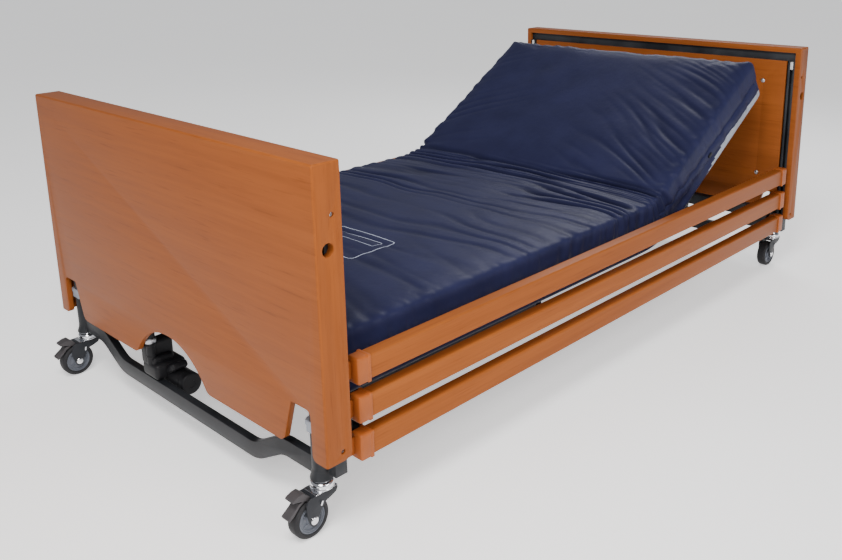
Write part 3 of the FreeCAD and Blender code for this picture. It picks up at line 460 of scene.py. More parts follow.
def build_rail_caps():
    """Moulded end caps with a parting line, a web and a slider in the slot."""
    for side, sign in (("right", 1), ("left", -1)):
        for level in ("top", "middle", "low"):
            bar_low, bar_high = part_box(f"{side}_rail_{level}")
            caps_low, caps_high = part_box(f"{side}_rail_{level}_caps")
            slot_low, slot_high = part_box("rail_channels")
            half = (slot_high.y - slot_low.y) / 2
            centre_x = sign * (slot_high.x - 0.0115)

            def caps(work):
                for way, edge in ((1, bar_high.y), (-1, bar_low.y)):
                    tip = CENTRE_Y + way * (0.965 + 0.033)
                    ys = sorted((edge, tip))
                    ys_lip = sorted((edge - way * 0.002, edge + way * 0.007))
                    slab(work, (caps_low.x, ys[0], caps_low.z), (caps_high.x, ys[1], caps_high.z), 0.0058, 4)
                    slab(
                        work,
                        (caps_low.x - 0.0005, ys_lip[0], caps_low.z - 0.0005),
                        (caps_high.x + 0.0003, ys_lip[1], caps_high.z + 0.0005),
                        0.0016,
                    )
                    neck_end = CENTRE_Y + way * (half + 0.0045 - 0.03)
                    ys = sorted((tip - way * 0.002, neck_end + way * 0.002))
                    z = (caps_low.z + caps_high.z) / 2
                    slab(
                        work,
                        (centre_x - 0.0038, ys[0], z - 0.0198),
                        (centre_x + 0.0038, ys[1], z + 0.0198),
                        0.001,
                    )

            made = piece(f"{side}_rail_{level}_cap_look", "cap_plastic", f"{side}_{level}_bar", caps)
            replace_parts(made, f"{side}_rail_{level}_caps")


def build_fixings():
    """Socket bolts in the bed ends and round-headed screws in the linings."""
    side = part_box("head_board")[1].x
    bolt_y, bolt_heights = 1.048, (0.697, 0.199)
    screw_x, screw_y, screw_heights = 0.471, 1.026, (0.677, 0.339)

    def bolts(work):
        for sx in (1, -1):
            for y in (CENTRE_Y + bolt_y, CENTRE_Y - bolt_y):
                for z in bolt_heights:
                    profile = [(0, -0.012), (0.0046, -0.012), (0.0046, -0.005)]
                    profile += arc(0.0009, 0, 90, 0.0037, -0.005, 3)
                    profile += [(0.0024, -0.0041), (0.0022, -0.0072), (0, -0.0076)]
                    lathe(work, profile, (sx * side, y, z), (sx, 0, 0), 24)

    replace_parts(piece("board_bolts_look", "zinc", "bed_frame", bolts), "board_bolts")

    def screws(work):
        for way in (1, -1):
            panel = CENTRE_Y + way * screw_y
            for sx in (1, -1):
                for z in screw_heights:
                    profile = [(0, -0.004), (0.0074, -0.004), (0.0076, 0.0002)]
                    profile += [(0.0072, 0.0014), (0.0058, 0.0028), (0.0036, 0.0037)]
                    profile += [(0.002, 0.0039), (0.0018, 0.0022), (0, 0.002)]
                    lathe(work, profile, (sx * screw_x, panel, z), (0, -way, 0), 28)

    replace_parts(piece("panel_screws_look", "zinc", "bed_frame", screws), "panel_screws")


# ---- lift and castors
def column_centres(end):
    return [leg_centre(sx, 1 if end == "head" else -1) for sx in (1, -1)]


def build_columns():
    """Collar bushes under the outer columns, castor sockets and bright cups."""
    rounded_copy("lift_collars", "collar_plastic", 0.0022, 3)

    for end in ("head", "foot"):

        def sockets(work):
            for at in column_centres(end):
                profile = [(0.019, 0.1185), (0.0236, 0.1185)] + arc(0.0012, -60, 40, 0.0238, 0.1202, 4)
                profile += [(0.024, 0.1236), (0.0222, 0.129), (0.0204, 0.135)]
                profile += [(0.0197, 0.142), (0.019, 0.142)]
                lathe(work, profile, at, Z, 48, closed=True)

        piece(f"{end}_leg_sockets", "leg_steel", f"{end}_leg_unit", sockets)

        def cups(work):
            for at in column_centres(end):
                profile = [(0.0064, 0.0988), (0.0246, 0.0988)]
                profile += arc(0.0014, -90, 60, 0.0246, 0.1002, 5)
                profile += [(0.025, 0.1026), (0.0256, 0.1046)]
                profile += arc(0.0078, 0, 78, 0.018, 0.1068, 8)
                profile += [(0.0188, 0.116), (0.0182, 0.118), (0.0064, 0.118)]
                lathe(work, profile, at, Z, 56, closed=True)

        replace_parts(piece(f"{end}_castor_cups_look", "chrome", f"{end}_leg_unit", cups), f"{end}_castor_cups")


def build_castor(corner):
    """One castor: fork, raceway, axle caps and spring, hub with rings, and tyre."""
    end, side = corner.split("_")
    sx, sy = (1 if side == "right" else -1), (1 if end == "head" else -1)
    pivot = leg_centre(sx, sy)
    axle = (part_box(f"{corner}_tyre")[0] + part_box(f"{corner}_tyre")[1]) / 2
    swivel = f"{corner}_swivel"

    def shifted(points):
        return [(pivot.y + y, z) for y, z in points]

    cheek = shifted([
        (0.0235, 0.0975), (0.0235, 0.0905), (0.019, 0.0835), (0.008, 0.079), (-0.008, 0.0745),
        (-0.019, 0.062), (-0.027, 0.047), (-0.0305, 0.037), (-0.0345, 0.0318), (-0.04, 0.0302),
        (-0.0455, 0.0318), (-0.0495, 0.037), (-0.054, 0.048), (-0.0572, 0.064), (-0.0578, 0.085),
        (-0.053, 0.0925), (-0.044, 0.0975),
    ])
    roof = shifted([
        (0.0235, 0.0975), (0.0235, 0.0915), (-0.032, 0.0922), (-0.033, 0.0925), (-0.0425, 0.0945),
        (-0.04, 0.0975),
    ])

    def fork(work):
        for low, high in ((0.0176, 0.0214), (-0.0214, -0.0176)):
            prism(work, cheek, pivot.x + low, pivot.x + high, 0.0014)
        prism(work, roof, pivot.x - 0.02, pivot.x + 0.02, 0.0012)
        stem = [(0, 0.086), (0.0105, 0.086), (0.0115, 0.0875), (0.0115, 0.093), (0, 0.093)]
        lathe(work, stem, pivot, Z, 32)

    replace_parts(piece(f"{corner}_fork_look", "castor_plastic", swivel, fork), f"{corner}_fork")

    def bright(work):
        raceway = [(0.0, 0.0972), (0.0238, 0.0972)] + arc(0.0006, -80, 80, 0.024, 0.0979, 3)
        raceway += [(0.0225, 0.0987), (0.0, 0.0987)]
        lathe(work, raceway, pivot, Z, 56)
        crown = ((-0.0209, -0.0335, 0.0958), (0.0209, 0.0243, 0.0981))
        slab(work, *(pivot + Vector(v) for v in crown), 0.0009)
        for way in (1, -1):
            cap = [(0, 0.0215), (0.0088, 0.0215), (0.009, 0.0228)]
            cap += [(0.0082, 0.024), (0.0064, 0.0248), (0.0034, 0.0254), (0, 0.0256)]
            lathe(work, cap, (axle.x, axle.y, axle.z), (way, 0, 0), 28)
            hole = Vector((pivot.x + way * 0.0214, pivot.y - 0.02, 0.076))
            for n in range(5):
                out = n * 0.0009
                coil = [(0, -0.0002), (0.0016, out), (0.0022, out + 0.0003), (0.0016, out + 0.0006)]
                at = hole + Vector((0, 0, -0.0045 + n * 0.0022))
                lathe(work, coil + [(0, out + 0.0007)], at, (way, 0, 0), 14)
        pin = [(0, -0.019), (0.0058, -0.019), (0.0058, 0.019), (0, 0.019)]
        lathe(work, pin, (axle.x, axle.y, axle.z), X, 24)

    piece(f"{corner}_bright_parts", "chrome", swivel, bright)

    def hub(work):
        half = [(0.0062, 0.0158), (0.0118, 0.0158), (0.0128, 0.0148), (0.014, 0.0092)]
        half += [(0.0165, 0.0085), (0.0238, 0.0085), (0.0246, 0.0092), (0.0252, 0.0122), (0.0262, 0.0126)]
        half += [(0.0272, 0.0118), (0.028, 0.0112), (0.029, 0.0116), (0.0298, 0.0136)]
        half += [(0.031, 0.014), (0.0322, 0.0134), (0.0328, 0.012)]
        lathe(work, half + [(r, -h) for r, h in reversed(half)], axle, X, 72, closed=True)
        spokes, reach, half_rib = 5, 0.019, Vector((0.0016, 0.0052, 0.0011))
        for n in range(spokes):
            a = 2 * math.pi * n / spokes
            for way in (1, -1):
                spot = axle + Vector((way * 0.0098, reach * math.cos(a), reach * math.sin(a)))
                slab(work, spot - half_rib, spot + half_rib, 0.0006, 2, Matrix.Rotation(a, 4, "X"))

    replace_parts(piece(f"{corner}_hub_look", "hub_plastic", f"{corner}_wheel", hub), f"{corner}_hub")

    def tyre(work):
        half = [(0.0331, 0.0138), (0.0352, 0.0148), (0.0376, 0.01495)]
        half += arc(0.0072, 80, 12, 0.0373, 0.0077, 8)
        half += [(0.04448, 0.004), (0.0445, 0.0)]
        lathe(work, half + [(r, -h) for r, h in reversed(half[:-1])], axle, X, 96, closed=True)

    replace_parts(piece(f"{corner}_tyre_look", "tyre_rubber", f"{corner}_wheel", tyre), f"{corner}_tyre")


def build_pedal(corner):
    """A brake pedal: a folded arm with two treads, the upper one ribbed."""
    pivot = leg_centre(1 if corner.endswith("right") else -1, -1)

    def plate(points):
        return [(pivot.y + y, z) for y, z in points]

    upper = plate([
        (-0.042, 0.097), (-0.058, 0.1125), (-0.07, 0.111), (-0.0838, 0.1058), (-0.0856, 0.1015),
        (-0.077, 0.0996), (-0.069, 0.0975), (-0.056, 0.093), (-0.047, 0.09),
    ])
    lower = plate([
        (-0.056, 0.096), (-0.07, 0.0925), (-0.076, 0.0845), (-0.0978, 0.069), (-0.095, 0.0628),
        (-0.081, 0.0725), (-0.069, 0.0845), (-0.056, 0.0905),
    ])

    def pedal(work):
        prism(work, upper, pivot.x - 0.014, pivot.x + 0.014, 0.0011)
        prism(work, lower, pivot.x - 0.0125, pivot.x + 0.0125, 0.0011)
        boss = [(0, -0.0139), (0.0038, -0.0139), (0.0038, 0.0139), (0, 0.0139)]
        lathe(work, boss, (pivot.x, pivot.y - 0.047, 0.0925), X, 24)
        for n in range(4):
            y, z = pivot.y - 0.062 - 0.005 * n, 0.1126 - 0.0018 * n
            low = (pivot.x - 0.011, y - 0.0006, z - 0.0018)
            high = (pivot.x + 0.011, y + 0.0006, z + 0.0002)
            slab(work, low, high, 0.0004, 2)

    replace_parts(piece(f"{corner}_pedal_look", "pedal_plastic", f"{corner}_brake", pedal), f"{corner}_pedal")


def build_lift(end):
    """A lift motor: gearbox with ribs, motor barrel and the screw tube."""
    way = 1 if end == "head" else -1
    body = f"{end}_leg_unit"
    at = Vector((way * 0.15, CENTRE_Y + way * LEG_Y, 0))
    screw_y = CENTRE_Y + way * 1.06
    barrel_y = CENTRE_Y + way * 1.012
    barrel_z = 0.105

    def block(work, x, y, z, width, segments=4, turn=None):
        xs = sorted(at.x + way * v for v in x)
        ys = sorted(at.y + way * v for v in y)
        slab(work, (xs[0], ys[0], z[0]), (xs[1], ys[1], z[1]), width, segments, turn)

    def housing(work):
        block(work, (-0.037, 0.037), (-0.072, 0.014), (0.108, 0.15), 0.011)
        block(work, (-0.001, 0.037), (-0.06, 0.015), (0.14, 0.203), 0.01)
        block(work, (-0.02, 0.03), (-0.05, 0.01), (0.142, 0.164), 0.008)
        slope = Matrix.Rotation(way * 0.55, 4, "Y")
        block(work, (-0.074, -0.012), (-0.058, -0.014), (0.124, 0.144), 0.007, 4, slope)
        for n in range(6):
            fin = (-0.046 + 0.0095 * n, -0.0412 + 0.0095 * n)
            block(work, (0.0345, 0.0392), fin, (0.158, 0.1985), 0.001, 2)
        length = 0.15
        radius = 0.0288
        barrel = [(0, 0.0), (radius - 0.009, 0.0)] + arc(0.009, -90, 0, radius - 0.009, 0.009, 5)
        barrel += [(radius, 0.028), (radius - 0.0012, 0.029), (radius - 0.0012, 0.031), (radius, 0.032)]
        barrel += [(radius, length - 0.022), (radius - 0.001, length - 0.0215)]
        barrel += [(radius - 0.001, length - 0.0195)]
        barrel += [(radius + 0.0001, length - 0.019), (radius + 0.0001, length - 0.0052)]
        barrel += arc(0.0052, 0, 84, radius - 0.0051, length - 0.0052, 6)
        barrel += [(0.01, length + 0.0), (0.0096, length - 0.001), (0, length - 0.001)]
        lathe(work, barrel, (at.x + way * 0.045, barrel_y, barrel_z), (-way, 0, 0), 64)
        spot = Vector((at.x - way * 0.1045, barrel_y + way * 0.006, barrel_z + 0.013))
        lathe(work, [(0, -0.002), (0.0024, -0.002), (0.0024, 0.0004), (0, 0.0005)], spot, (-way, 0, 0), 16)
        sleeve = [(0, 0.145), (0.0118, 0.145), (0.0118, 0.164), (0.0127, 0.165), (0.0127, 0.169)]
        sleeve += [(0.0116, 0.17), (0.0116, 0.195), (0.0127, 0.196), (0.0127, 0.203)]
        sleeve += [(0.0118, 0.2046), (0, 0.2046)]
        lathe(work, sleeve, (at.x, screw_y, 0), Z, 40)

    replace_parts(piece(f"{end}_lift_motor_look", "motor_plastic", body, housing), f"{end}_lift_motor")

    def screw_tube(work):
        tube = [(0.0096, 0.218), (0.013, 0.218), (0.013, 0.691)]
        tube += [(0.0136, 0.692), (0.0136, 0.699), (0.013, 0.7), (0.0096, 0.7)]
        lathe(work, tube, (at.x, screw_y, 0), Z, 40, closed=True)

    piece(f"{end}_lift_tube", "leg_steel", body, screw_tube)

    def nut(work):
        collar = [(0.0096, 0.205), (0.015, 0.205), (0.0156, 0.2058), (0.0156, 0.215), (0.0146, 0.2176)]
        lathe(work, collar + [(0.0096, 0.218)], (at.x, screw_y, 0), Z, 40, closed=True)

    piece(f"{end}_lift_nut", "zinc", body, nut)


# ---- platform actuators
def build_actuators():
    """Motors under the platform, with their tubes, collars and end caps."""
    for name, x, way in (("backrest", -0.15, 1), ("knee", 0.15, -1)):
        low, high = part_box(f"{name}_motor")
        height = 0.1477
        rear = low.y + 0.062 if way > 0 else high.y - 0.062
        mouth = high.y if way > 0 else low.y

        def housing(work):
            far = rear - way * 0.0615
            ys = sorted((far, rear))
            slab(work, (x - 0.0335, ys[0], height - 0.0315), (x + 0.0335, ys[1], 0.1918), 0.007, 4)
            for n in range(4):
                y = min(ys) + 0.012 + n * 0.0125
                low_rib, high_rib = (x - 0.0342, y, height - 0.012), (x - 0.033, y + 0.004, height + 0.03)
                slab(work, low_rib, high_rib, 0.0005, 2)
            length = 0.15
            radius = 0.0242
            barrel = [(0, 0.0), (radius - 0.003, 0.0), (radius, 0.003), (radius, length - 0.02)]
            barrel += [(radius - 0.001, length - 0.019), (radius - 0.001, length - 0.017)]
            barrel += [(radius, length - 0.016)]
            barrel += [(radius, length - 0.004)] + arc(0.004, 0, 80, radius - 0.004, length - 0.004, 4)
            barrel += [(0, length)]
            lathe(work, barrel, (x + 0.052, rear - way * 0.06, height - 0.002), (0, way, 0), 48)
            collar = [(0.0106, 0.018), (0.0106, 0.0), (0.0226, 0.0)]
            collar += [(0.0228, 0.002), (0.0228, 0.016), (0.0216, 0.018)]
            lathe(work, collar, (x, mouth - way * 0.018, height), (0, way, 0), 48, closed=True)

        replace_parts(piece(f"{name}_motor_look", "motor_plastic", "bed_frame", housing), f"{name}_motor")

        def outer(work):
            span = abs(mouth - rear) - 0.01
            tube = [(0.0106, 0.0), (0.0198, 0.0), (0.0198, span), (0.0106, span)]
            lathe(work, tube, (x, rear, height), (0, way, 0), 48, closed=True)

        piece(f"{name}_outer_tube", "dark_steel", "bed_frame", outer)


def build_control_box():
    """The control box: a two-part shell and a row of round sockets."""
    low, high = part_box("control_box")
    front = high.y - 0.012
    seam = low.z + 0.024

    def shell(work):
        slab(work, (low.x, low.y, low.z), (high.x, front, seam - 0.0006), 0.0055, 4)
        lid, lip = (0.0015, seam, high.z, 0.0055), (0.004, seam - 0.004, seam + 0.004, 0.0)
        for inset, bottom, top, width in (lid, lip):
            near = (low.x + inset, low.y + inset, bottom)
            slab(work, near, (high.x - inset, front - inset, top), width, 4)
        for n in range(5):
            x = -0.08 + 0.04 * n
            socket = [(0, -0.004), (0.0092, -0.004), (0.0092, 0.0105), (0.0084, 0.012), (0.0066, 0.012)]
            socket += [(0.0062, 0.004), (0, 0.004)]
            lathe(work, socket, (x, front, low.z + 0.03), Y, 32)

    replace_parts(piece("control_box_look", "motor_plastic", "bed_frame", shell), "control_box")


# ---- mattress
HINGE = Vector((0, CENTRE_Y + 0.29, 0.2475))
THIGH = Vector((0, CENTRE_Y + 0.06, 0.2475))
KNEE = Vector((0, CENTRE_Y - 0.27, 0.2475))
BACK_ANGLE = math.radians(31.5)
DECK_TOP = 0.2604
CELLS = (84, 190, 12)
MATTRESS = {"half": 0.526, "foot": -0.979, "length": 2.002, "height": 0.151, "edge": 0.018, "bend": 0.24}
HINGE_S = HINGE.y - CENTRE_Y - MATTRESS["foot"]


def bend_path(reach, count=900):
    """The platform's line as it bends at the backrest hinge: place and lean."""
    start = MATTRESS["foot"] + CENTRE_Y
    centre = HINGE.y - 0.0035
    half = MATTRESS["bend"] / 2
    step = reach / count
    y, z = start, DECK_TOP
    path = []
    for n in range(count + 1):
        s = start + n * step
        t = min(1.0, max(0.0, (s - centre + half) / (2 * half)))
        lean = BACK_ANGLE * t * t * (3 - 2 * t)
        path.append((y, z, lean))
        y += math.cos(lean) * step
        z += math.sin(lean) * step
    return path, step


def grid_box(nx, ny, nz):
    """Vertices and quads of a box surface as whole-number grid steps."""
    index, quads = {}, []

    def corner(i, j, k):
        return index.setdefault((i, j, k), len(index))

    def side(a, b, make):
        for i in range(a):
            for j in range(b):
                quads.append([corner(*make(*ij)) for ij in ((i, j), (i + 1, j), (i + 1, j + 1), (i, j + 1))])

    side(nx, ny, lambda i, j: (i, j, nz))
    side(nx, ny, lambda i, j: (nx - i, j, 0))
    side(ny, nz, lambda i, j: (nx, i, j))
    side(ny, nz, lambda i, j: (0, ny - i, j))
    side(nx, nz, lambda i, j: (i, 0, j))
    side(nx, nz, lambda i, j: (nx - i, ny, j))
    return list(index), quads


def lattice(u, v, seed):
    """Smooth noise from a table of seeded numbers, about -1 to 1."""
    table = np.random.RandomState(seed).rand(61, 61) * 2 - 1
    iu, iv = np.floor(u).astype(int), np.floor(v).astype(int)
    fu, fv = u - iu, v - iv
    fu, fv = fu * fu * fu * (fu * (fu * 6 - 15) + 10), fv * fv * fv * (fv * (fv * 6 - 15) + 10)
    corner = [[table[(iu + a) % 61, (iv + b) % 61] for b in (0, 1)] for a in (0, 1)]
    near = corner[0][0] * (1 - fv) + corner[0][1] * fv
    far = corner[1][0] * (1 - fv) + corner[1][1] * fv
    return near * (1 - fu) + far * fu


def step_up(value, low, high):
    """0 below low, 1 above high, smooth between."""
    t = np.clip((value - low) / (high - low), 0, 1)
    return t * t * (3 - 2 * t)


def train(q, x, wave, seed, sharp=2.6):
    """A run of long folds a wave apart along q, each fading in and out."""
    phase = q / wave + 1.1 * lattice(q / 0.17, x / 0.5, seed) + 0.25 * lattice(q / 0.05, x / 0.22, seed + 1)
    valley = (0.5 + 0.5 * np.cos(2 * math.pi * phase)) ** sharp
    return valley * np.clip(0.62 + 0.95 * lattice(q / (1.3 * wave) + 3, x / 0.33, seed + 2), 0.04, 1.25)


def folds(x, s):
    """Depth of the creases in the top of the cover, in metres."""
    d = s - HINGE_S
    near = step_up(x, -0.45, 0.5)
    drift = 0.02 * lattice(x * 2.4 + 5, d * 2.0, 11) + 0.006 * lattice(x * 7.0, d * 5.0, 12)
    squeeze = 1 - 0.34 * near * np.exp(-((d / 0.3) ** 2))

    bend = step_up(d, -0.4, -0.12) * (1 - step_up(d, 0.03, 0.11))
    across = (d + drift) / squeeze
    out = bend * train(across, x, 0.07, 21, 2.2) * (0.011 + 0.002 * near)
    out += bend * train(across, x, 0.029, 31) * 0.003 * (0.35 + 0.9 * near)

    flat = step_up(d, -1.15, -0.6) * (1 - step_up(d, -0.34, -0.14))
    turn = 0.1 * (x + 0.2) * step_up(-d, 0.3, 0.9)
    out += flat * train(d + 1.6 * drift + turn, x, 0.074, 41) * 0.0062
    foot = 1 - step_up(d, -1.1, -0.62)
    out += foot * train(d + 1.6 * drift + 0.3 * x, x, 0.11, 51) * 0.0034

    side = step_up(x, -0.02, 0.45) + 0.35 * step_up(-x, 0.15, 0.5)
    lean = d - 0.55 * (0.52 - np.abs(x))
    back = step_up(d, 0.05, 0.15) * (1 - step_up(d, 0.42, 0.74)) * side
    out += back * train(lean + drift, x, 0.062, 61) * (0.0058 - 0.0028 * step_up(d, 0.1, 0.6))
    out += side**4 * step_up(d, 0.1, 0.3) * train(lean, x, 0.034, 66) * 0.0024
    ridge = np.exp(-(((d - 0.052 - 0.5 * drift) / 0.016) ** 2)) * 0.0095
    return out + ridge * (0.6 + 0.4 * lattice(x * 3, d * 0, 71))


def pleats(s, h):
    """How far the side walls pucker, in metres: crowded where the bed bends."""
    d = s - HINGE_S
    near = np.exp(-((d / 0.28) ** 2))
    slant = s + 0.25 * (h - 0.08) * np.sin(s * 5.0)
    wave = lattice(slant / 0.026, h * 8.0, 81) * 0.0052 + lattice(slant / 0.012, h * 12.0, 82) * 0.0012
    return wave * (0.5 + 1.1 * near) - near * 0.003


def mattress_mesh():
    """The unbent cover as a rounded box, carried on to the platform's line."""
    half, height, edge = MATTRESS["half"], MATTRESS["height"], MATTRESS["edge"]
    length = MATTRESS["length"]
    nx, ny, nz = CELLS
    steps, quads = grid_box(nx, ny, nz)
    path, step = bend_path(length)
    places, flat = [], []
    for i, j, k in steps:
        p = Vector((-half + 2 * half * i / nx, length * j / ny, height * k / nz))
        low = Vector((-half + edge, edge, edge * 0.7))
        high = Vector((half - edge, length - edge, height - edge))
        q = Vector((min(max(p.x, low.x), high.x), min(max(p.y, low.y), high.y), min(max(p.z, low.z), high.z)))
        d = p - q
        radius = edge if p.z > height / 2 else edge * 0.7
        if d.length > 1e-9:
            p = q + d.normalized() * radius
        n = min(len(path) - 1, max(0, round(p.y / step)))
        y, z, lean = path[n]
        slip = p.y - n * step
        y += slip * math.cos(lean) - p.z * math.sin(lean)
        z += slip * math.sin(lean) + p.z * math.cos(lean)
        places.append(Vector((p.x, y, z)))
        flat.append((p.x, p.y, p.z, lean))
    mesh = bpy.data.meshes.new("mattress")
    mesh.from_pydata(places, [], quads)
    return mesh, np.array(flat)


def simulate(thing, flat):
    """Inflates and relaxes the cover with a Cloth simulation, then keeps it."""
    start = np.array([v.co for v in thing.data.vertices])
    height = MATTRESS["height"]
    pins = thing.vertex_groups.new(name="held")
    loose = thing.vertex_groups.new(name="loose")
    for n, (_, s, h, _) in enumerate(flat):
        pins.add([n], 1.0 if h < height * 0.1 else 0.0, "REPLACE")
        loose.add([n], math.exp(-(((s - HINGE_S) / 0.26) ** 2)) if h > height * 0.2 else 0.0, "REPLACE")
    cloth = thing.modifiers.new("cloth", "CLOTH")
    settings = {
        "quality": 6,
        "mass": 0.25,
        "use_pressure": True,
        "uniform_pressure_force": 4.0,
        "tension_stiffness": 22,
        "compression_stiffness": 22,
        "shear_stiffness": 8,
        "bending_stiffness": 0.6,
        "air_damping": 3,
        "vertex_group_mass": "held",
        "vertex_group_shrink": "loose",
        "shrink_min": -0.004,
        "shrink_max": -0.055,
    }
    for key, value in settings.items():
        setattr(cloth.settings, key, value)
    cloth.settings.effector_weights.gravity = 0
    last = 20
    cloth.point_cache.frame_start, cloth.point_cache.frame_end = 1, last
    scene = bpy.context.scene
    for number in range(1, last + 1):
        scene.frame_set(number)
    graph = bpy.context.evaluated_depsgraph_get()
    found = thing.evaluated_get(graph).data
    final = np.array([v.co for v in found.vertices])
    thing.modifiers.clear()
    scene.frame_set(1)
    move = final - start
    size = np.linalg.norm(move, axis=1, keepdims=True)
    cap = 0.006  # the furthest that a point may move
    move *= cap * np.tanh(size / cap) / np.maximum(size, 1e-9)
    thing.data.vertices.foreach_set("co", (start + move).astype(np.float32).ravel())
    thing.data.update()


def dress(mesh):
    """Adds creases, pleats and hollows to the relaxed cover, along its normals, and keeps the crease depth for
    painted shade in the valleys.
    """
    half, height, length = MATTRESS["half"], MATTRESS["height"], MATTRESS["length"]
    x, s, h = (read_layer(mesh, key) for key in "xsh")
    count = len(mesh.vertices)
    normals, places = np.zeros(count * 3, np.float32), np.zeros(count * 3, np.float32)
    mesh.vertices.foreach_get("normal", normals)
    mesh.vertices.foreach_get("co", places)
    top = step_up(h, height * 0.55, height * 0.96)
    inset = np.minimum(half - np.abs(x), np.minimum(s, length - s))
    wall = step_up(-inset, -0.05, -0.003) * step_up(h, 0.0, height * 0.3)
    slow = 0.003 * lattice(x * 3.2 + 4, s * 2.4, 91) + 0.0012 * lattice(x * 9.0, s * 9.0, 92)
    calm = step_up(inset, 0.0, 0.05) * 0.6 + 0.4
    depth = top * folds(x, s) * calm
    # The crease depth goes to the cover material, which uses it to paint shade into the fold valleys.
    crease = mesh.attributes.new("crease", "FLOAT", "POINT")
    crease.data.foreach_set("value", np.clip(depth / 0.01, 0, 1).astype(np.float32))
    shift = top * slow - depth + wall * pleats(s + np.where(np.minimum(s, length - s) < 0.02, x, 0), h)
    shift *= step_up(h, 0.004, height * 0.15)
    places = places.reshape(-1, 3) + normals.reshape(-1, 3) * shift[:, None]
    mesh.vertices.foreach_set("co", places.astype(np.float32).ravel())
    mesh.update()


def subdivide(mesh, flat):
    """One smoothing subdivision; carries the unbent coordinates along."""
    for axis, key in enumerate("xsh"):
        layer = mesh.attributes.new(f"flat_{key}", "FLOAT", "POINT")
        layer.data.foreach_set("value", flat[:, axis].astype(np.float32))
    holder = bpy.data.objects.new("holder", mesh)
    link(holder)
    levels = holder.modifiers.new("smooth", "SUBSURF")
    levels.levels = levels.render_levels = 1
    graph = bpy.context.evaluated_depsgraph_get()
    finer = bpy.data.meshes.new_from_object(holder.evaluated_get(graph))
    bpy.data.objects.remove(holder)
    return finer


def read_layer(mesh, key):
    values = np.zeros(len(mesh.vertices), np.float32)
    mesh.attributes[f"flat_{key}"].data.foreach_get("value", values)
    return values


def cut_mattress(mesh, low, high, name):
    """The stretch of the cover between two places along its unbent length."""
    work = bmesh.new()
    work.from_mesh(mesh)
    layer = work.verts.layers.float["flat_s"]
    gone = [f for f in work.faces if not low <= sum(v[layer] for v in f.verts) / len(f.verts) < high]
    bmesh.ops.delete(work, geom=gone, context="FACES")
    return write_mesh(name, work)


def build_mattress():
    """The whole cover, simulated once, then cut where no joint bends it."""
    mesh, flat = mattress_mesh()
    whole = bpy.data.objects.new("whole_cover", mesh)
    link(whole)
    simulate(whole, flat)
    bpy.data.objects.remove(whole)
    finer = subdivide(mesh, flat)
    dress(finer)
    paint_mattress(finer)
    finer = add_flaps(finer)
    start = MATTRESS["foot"] + CENTRE_Y
    seat_cut = (HINGE.y + THIGH.y) / 2 - start
    thigh_cut = (THIGH.y + KNEE.y) / 2 - start
    beyond = 9.0
    spans = (
        ("back", seat_cut, beyond, "bed_frame", "backrest", HINGE, 1, ("mattress_back", "mattress_seat")),
        ("seat", thigh_cut, seat_cut, "bed_frame", "thigh_section", THIGH, -1, ("mattress_thigh",)),
        ("calf", -beyond, thigh_cut, "thigh_section", "calf_section", KNEE, -1, ("mattress_calf",)),
    )
    made = []
    for key, low, high, first, second, hinge, way, nodes in spans:
        name = f"mattress_{key}_look"
        part = cut_mattress(finer, low, high, name)
        part.materials.append(FINISH["mattress_cover"])
        part.materials.append(FINISH["mattress_base"])
        part.shade_smooth()
        thing = bpy.data.objects.new(name, part)
        link(thing)
        half = 0.1 if way > 0 else 0.095
        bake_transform(thing, first, second, hinge - way * half * Y, hinge + way * half * Y)
        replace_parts(thing, *nodes)
        made.append(thing)
    return made


def add_flaps(mesh):
    """Sews a loose zip flap along each side of the back section."""
    height, length = MATTRESS["height"], MATTRESS["length"]
    tree = surface_of(mesh)
    path, step = bend_path(length)
    work = bmesh.new()
    work.from_mesh(mesh)
    layers = [work.verts.layers.float[f"flat_{key}"] for key in "xsh"]
    stations = np.linspace(HINGE_S - 0.03, length - 0.03, 190)
    for way in (1, -1):
        rows = []
        for s in stations:
            y, z, lean = path[min(len(path) - 1, round(s / step))]
            wave = float(lattice(np.array(s / 0.033), np.array(2.0 + way), 95))
            drop = 0.03 + 0.004 * wave
            seam = height * (0.56 - 0.1 * math.sin((s - HINGE_S) * 3.2))
            section = (
                (seam, 0.0004), (seam - 0.003, 0.003), (seam - drop * 0.5, 0.0036 + 0.001 * wave),
                (seam - drop, 0.0042 + 0.0012 * wave), (seam - drop - 0.0008, 0.003),
                (seam - drop + 0.003, 0.0002),
            )
            row = []
            for h, out in section:
                spot = Vector((way * 0.7, y - h * math.sin(lean), z + h * math.cos(lean)))
                found = tree.ray_cast(spot, Vector((-way, 0, 0)))
                x = (found[0].x if found[0] else way * MATTRESS["half"]) + way * out
                vert = work.verts.new((x, spot.y, spot.z))
                for layer, value in zip(layers, (x, s, h)):
                    vert[layer] = value
                row.append(vert)
            rows.append(row)
        for low, high in zip(rows, rows[1:]):
            for n in range(len(low) - 1):
                ring = (low[n], high[n], high[n + 1], low[n + 1])
                work.faces.new(ring if way < 0 else ring[::-1]).smooth = True
    return write_mesh("cover", work)


def paint_mattress(mesh):
    """Marks the lower strip of the walls and the underside as the pale base."""
    heights, along = read_layer(mesh, "h"), read_layer(mesh, "s")
    lines = MATTRESS["height"] * (0.02 + 0.19 * step_up(along, HINGE_S + 0.26, HINGE_S + 0.44))
    below = heights < lines
    for face in mesh.polygons:
        face.material_index = int(sum(below[v] for v in face.vertices) > len(face.vertices) // 2)


def surface_of(mesh):
    """A tree of a mesh's faces, for finding where a ray meets it."""
    return BVHTree.FromPolygons([v.co for v in mesh.vertices], [p.vertices for p in mesh.polygons])


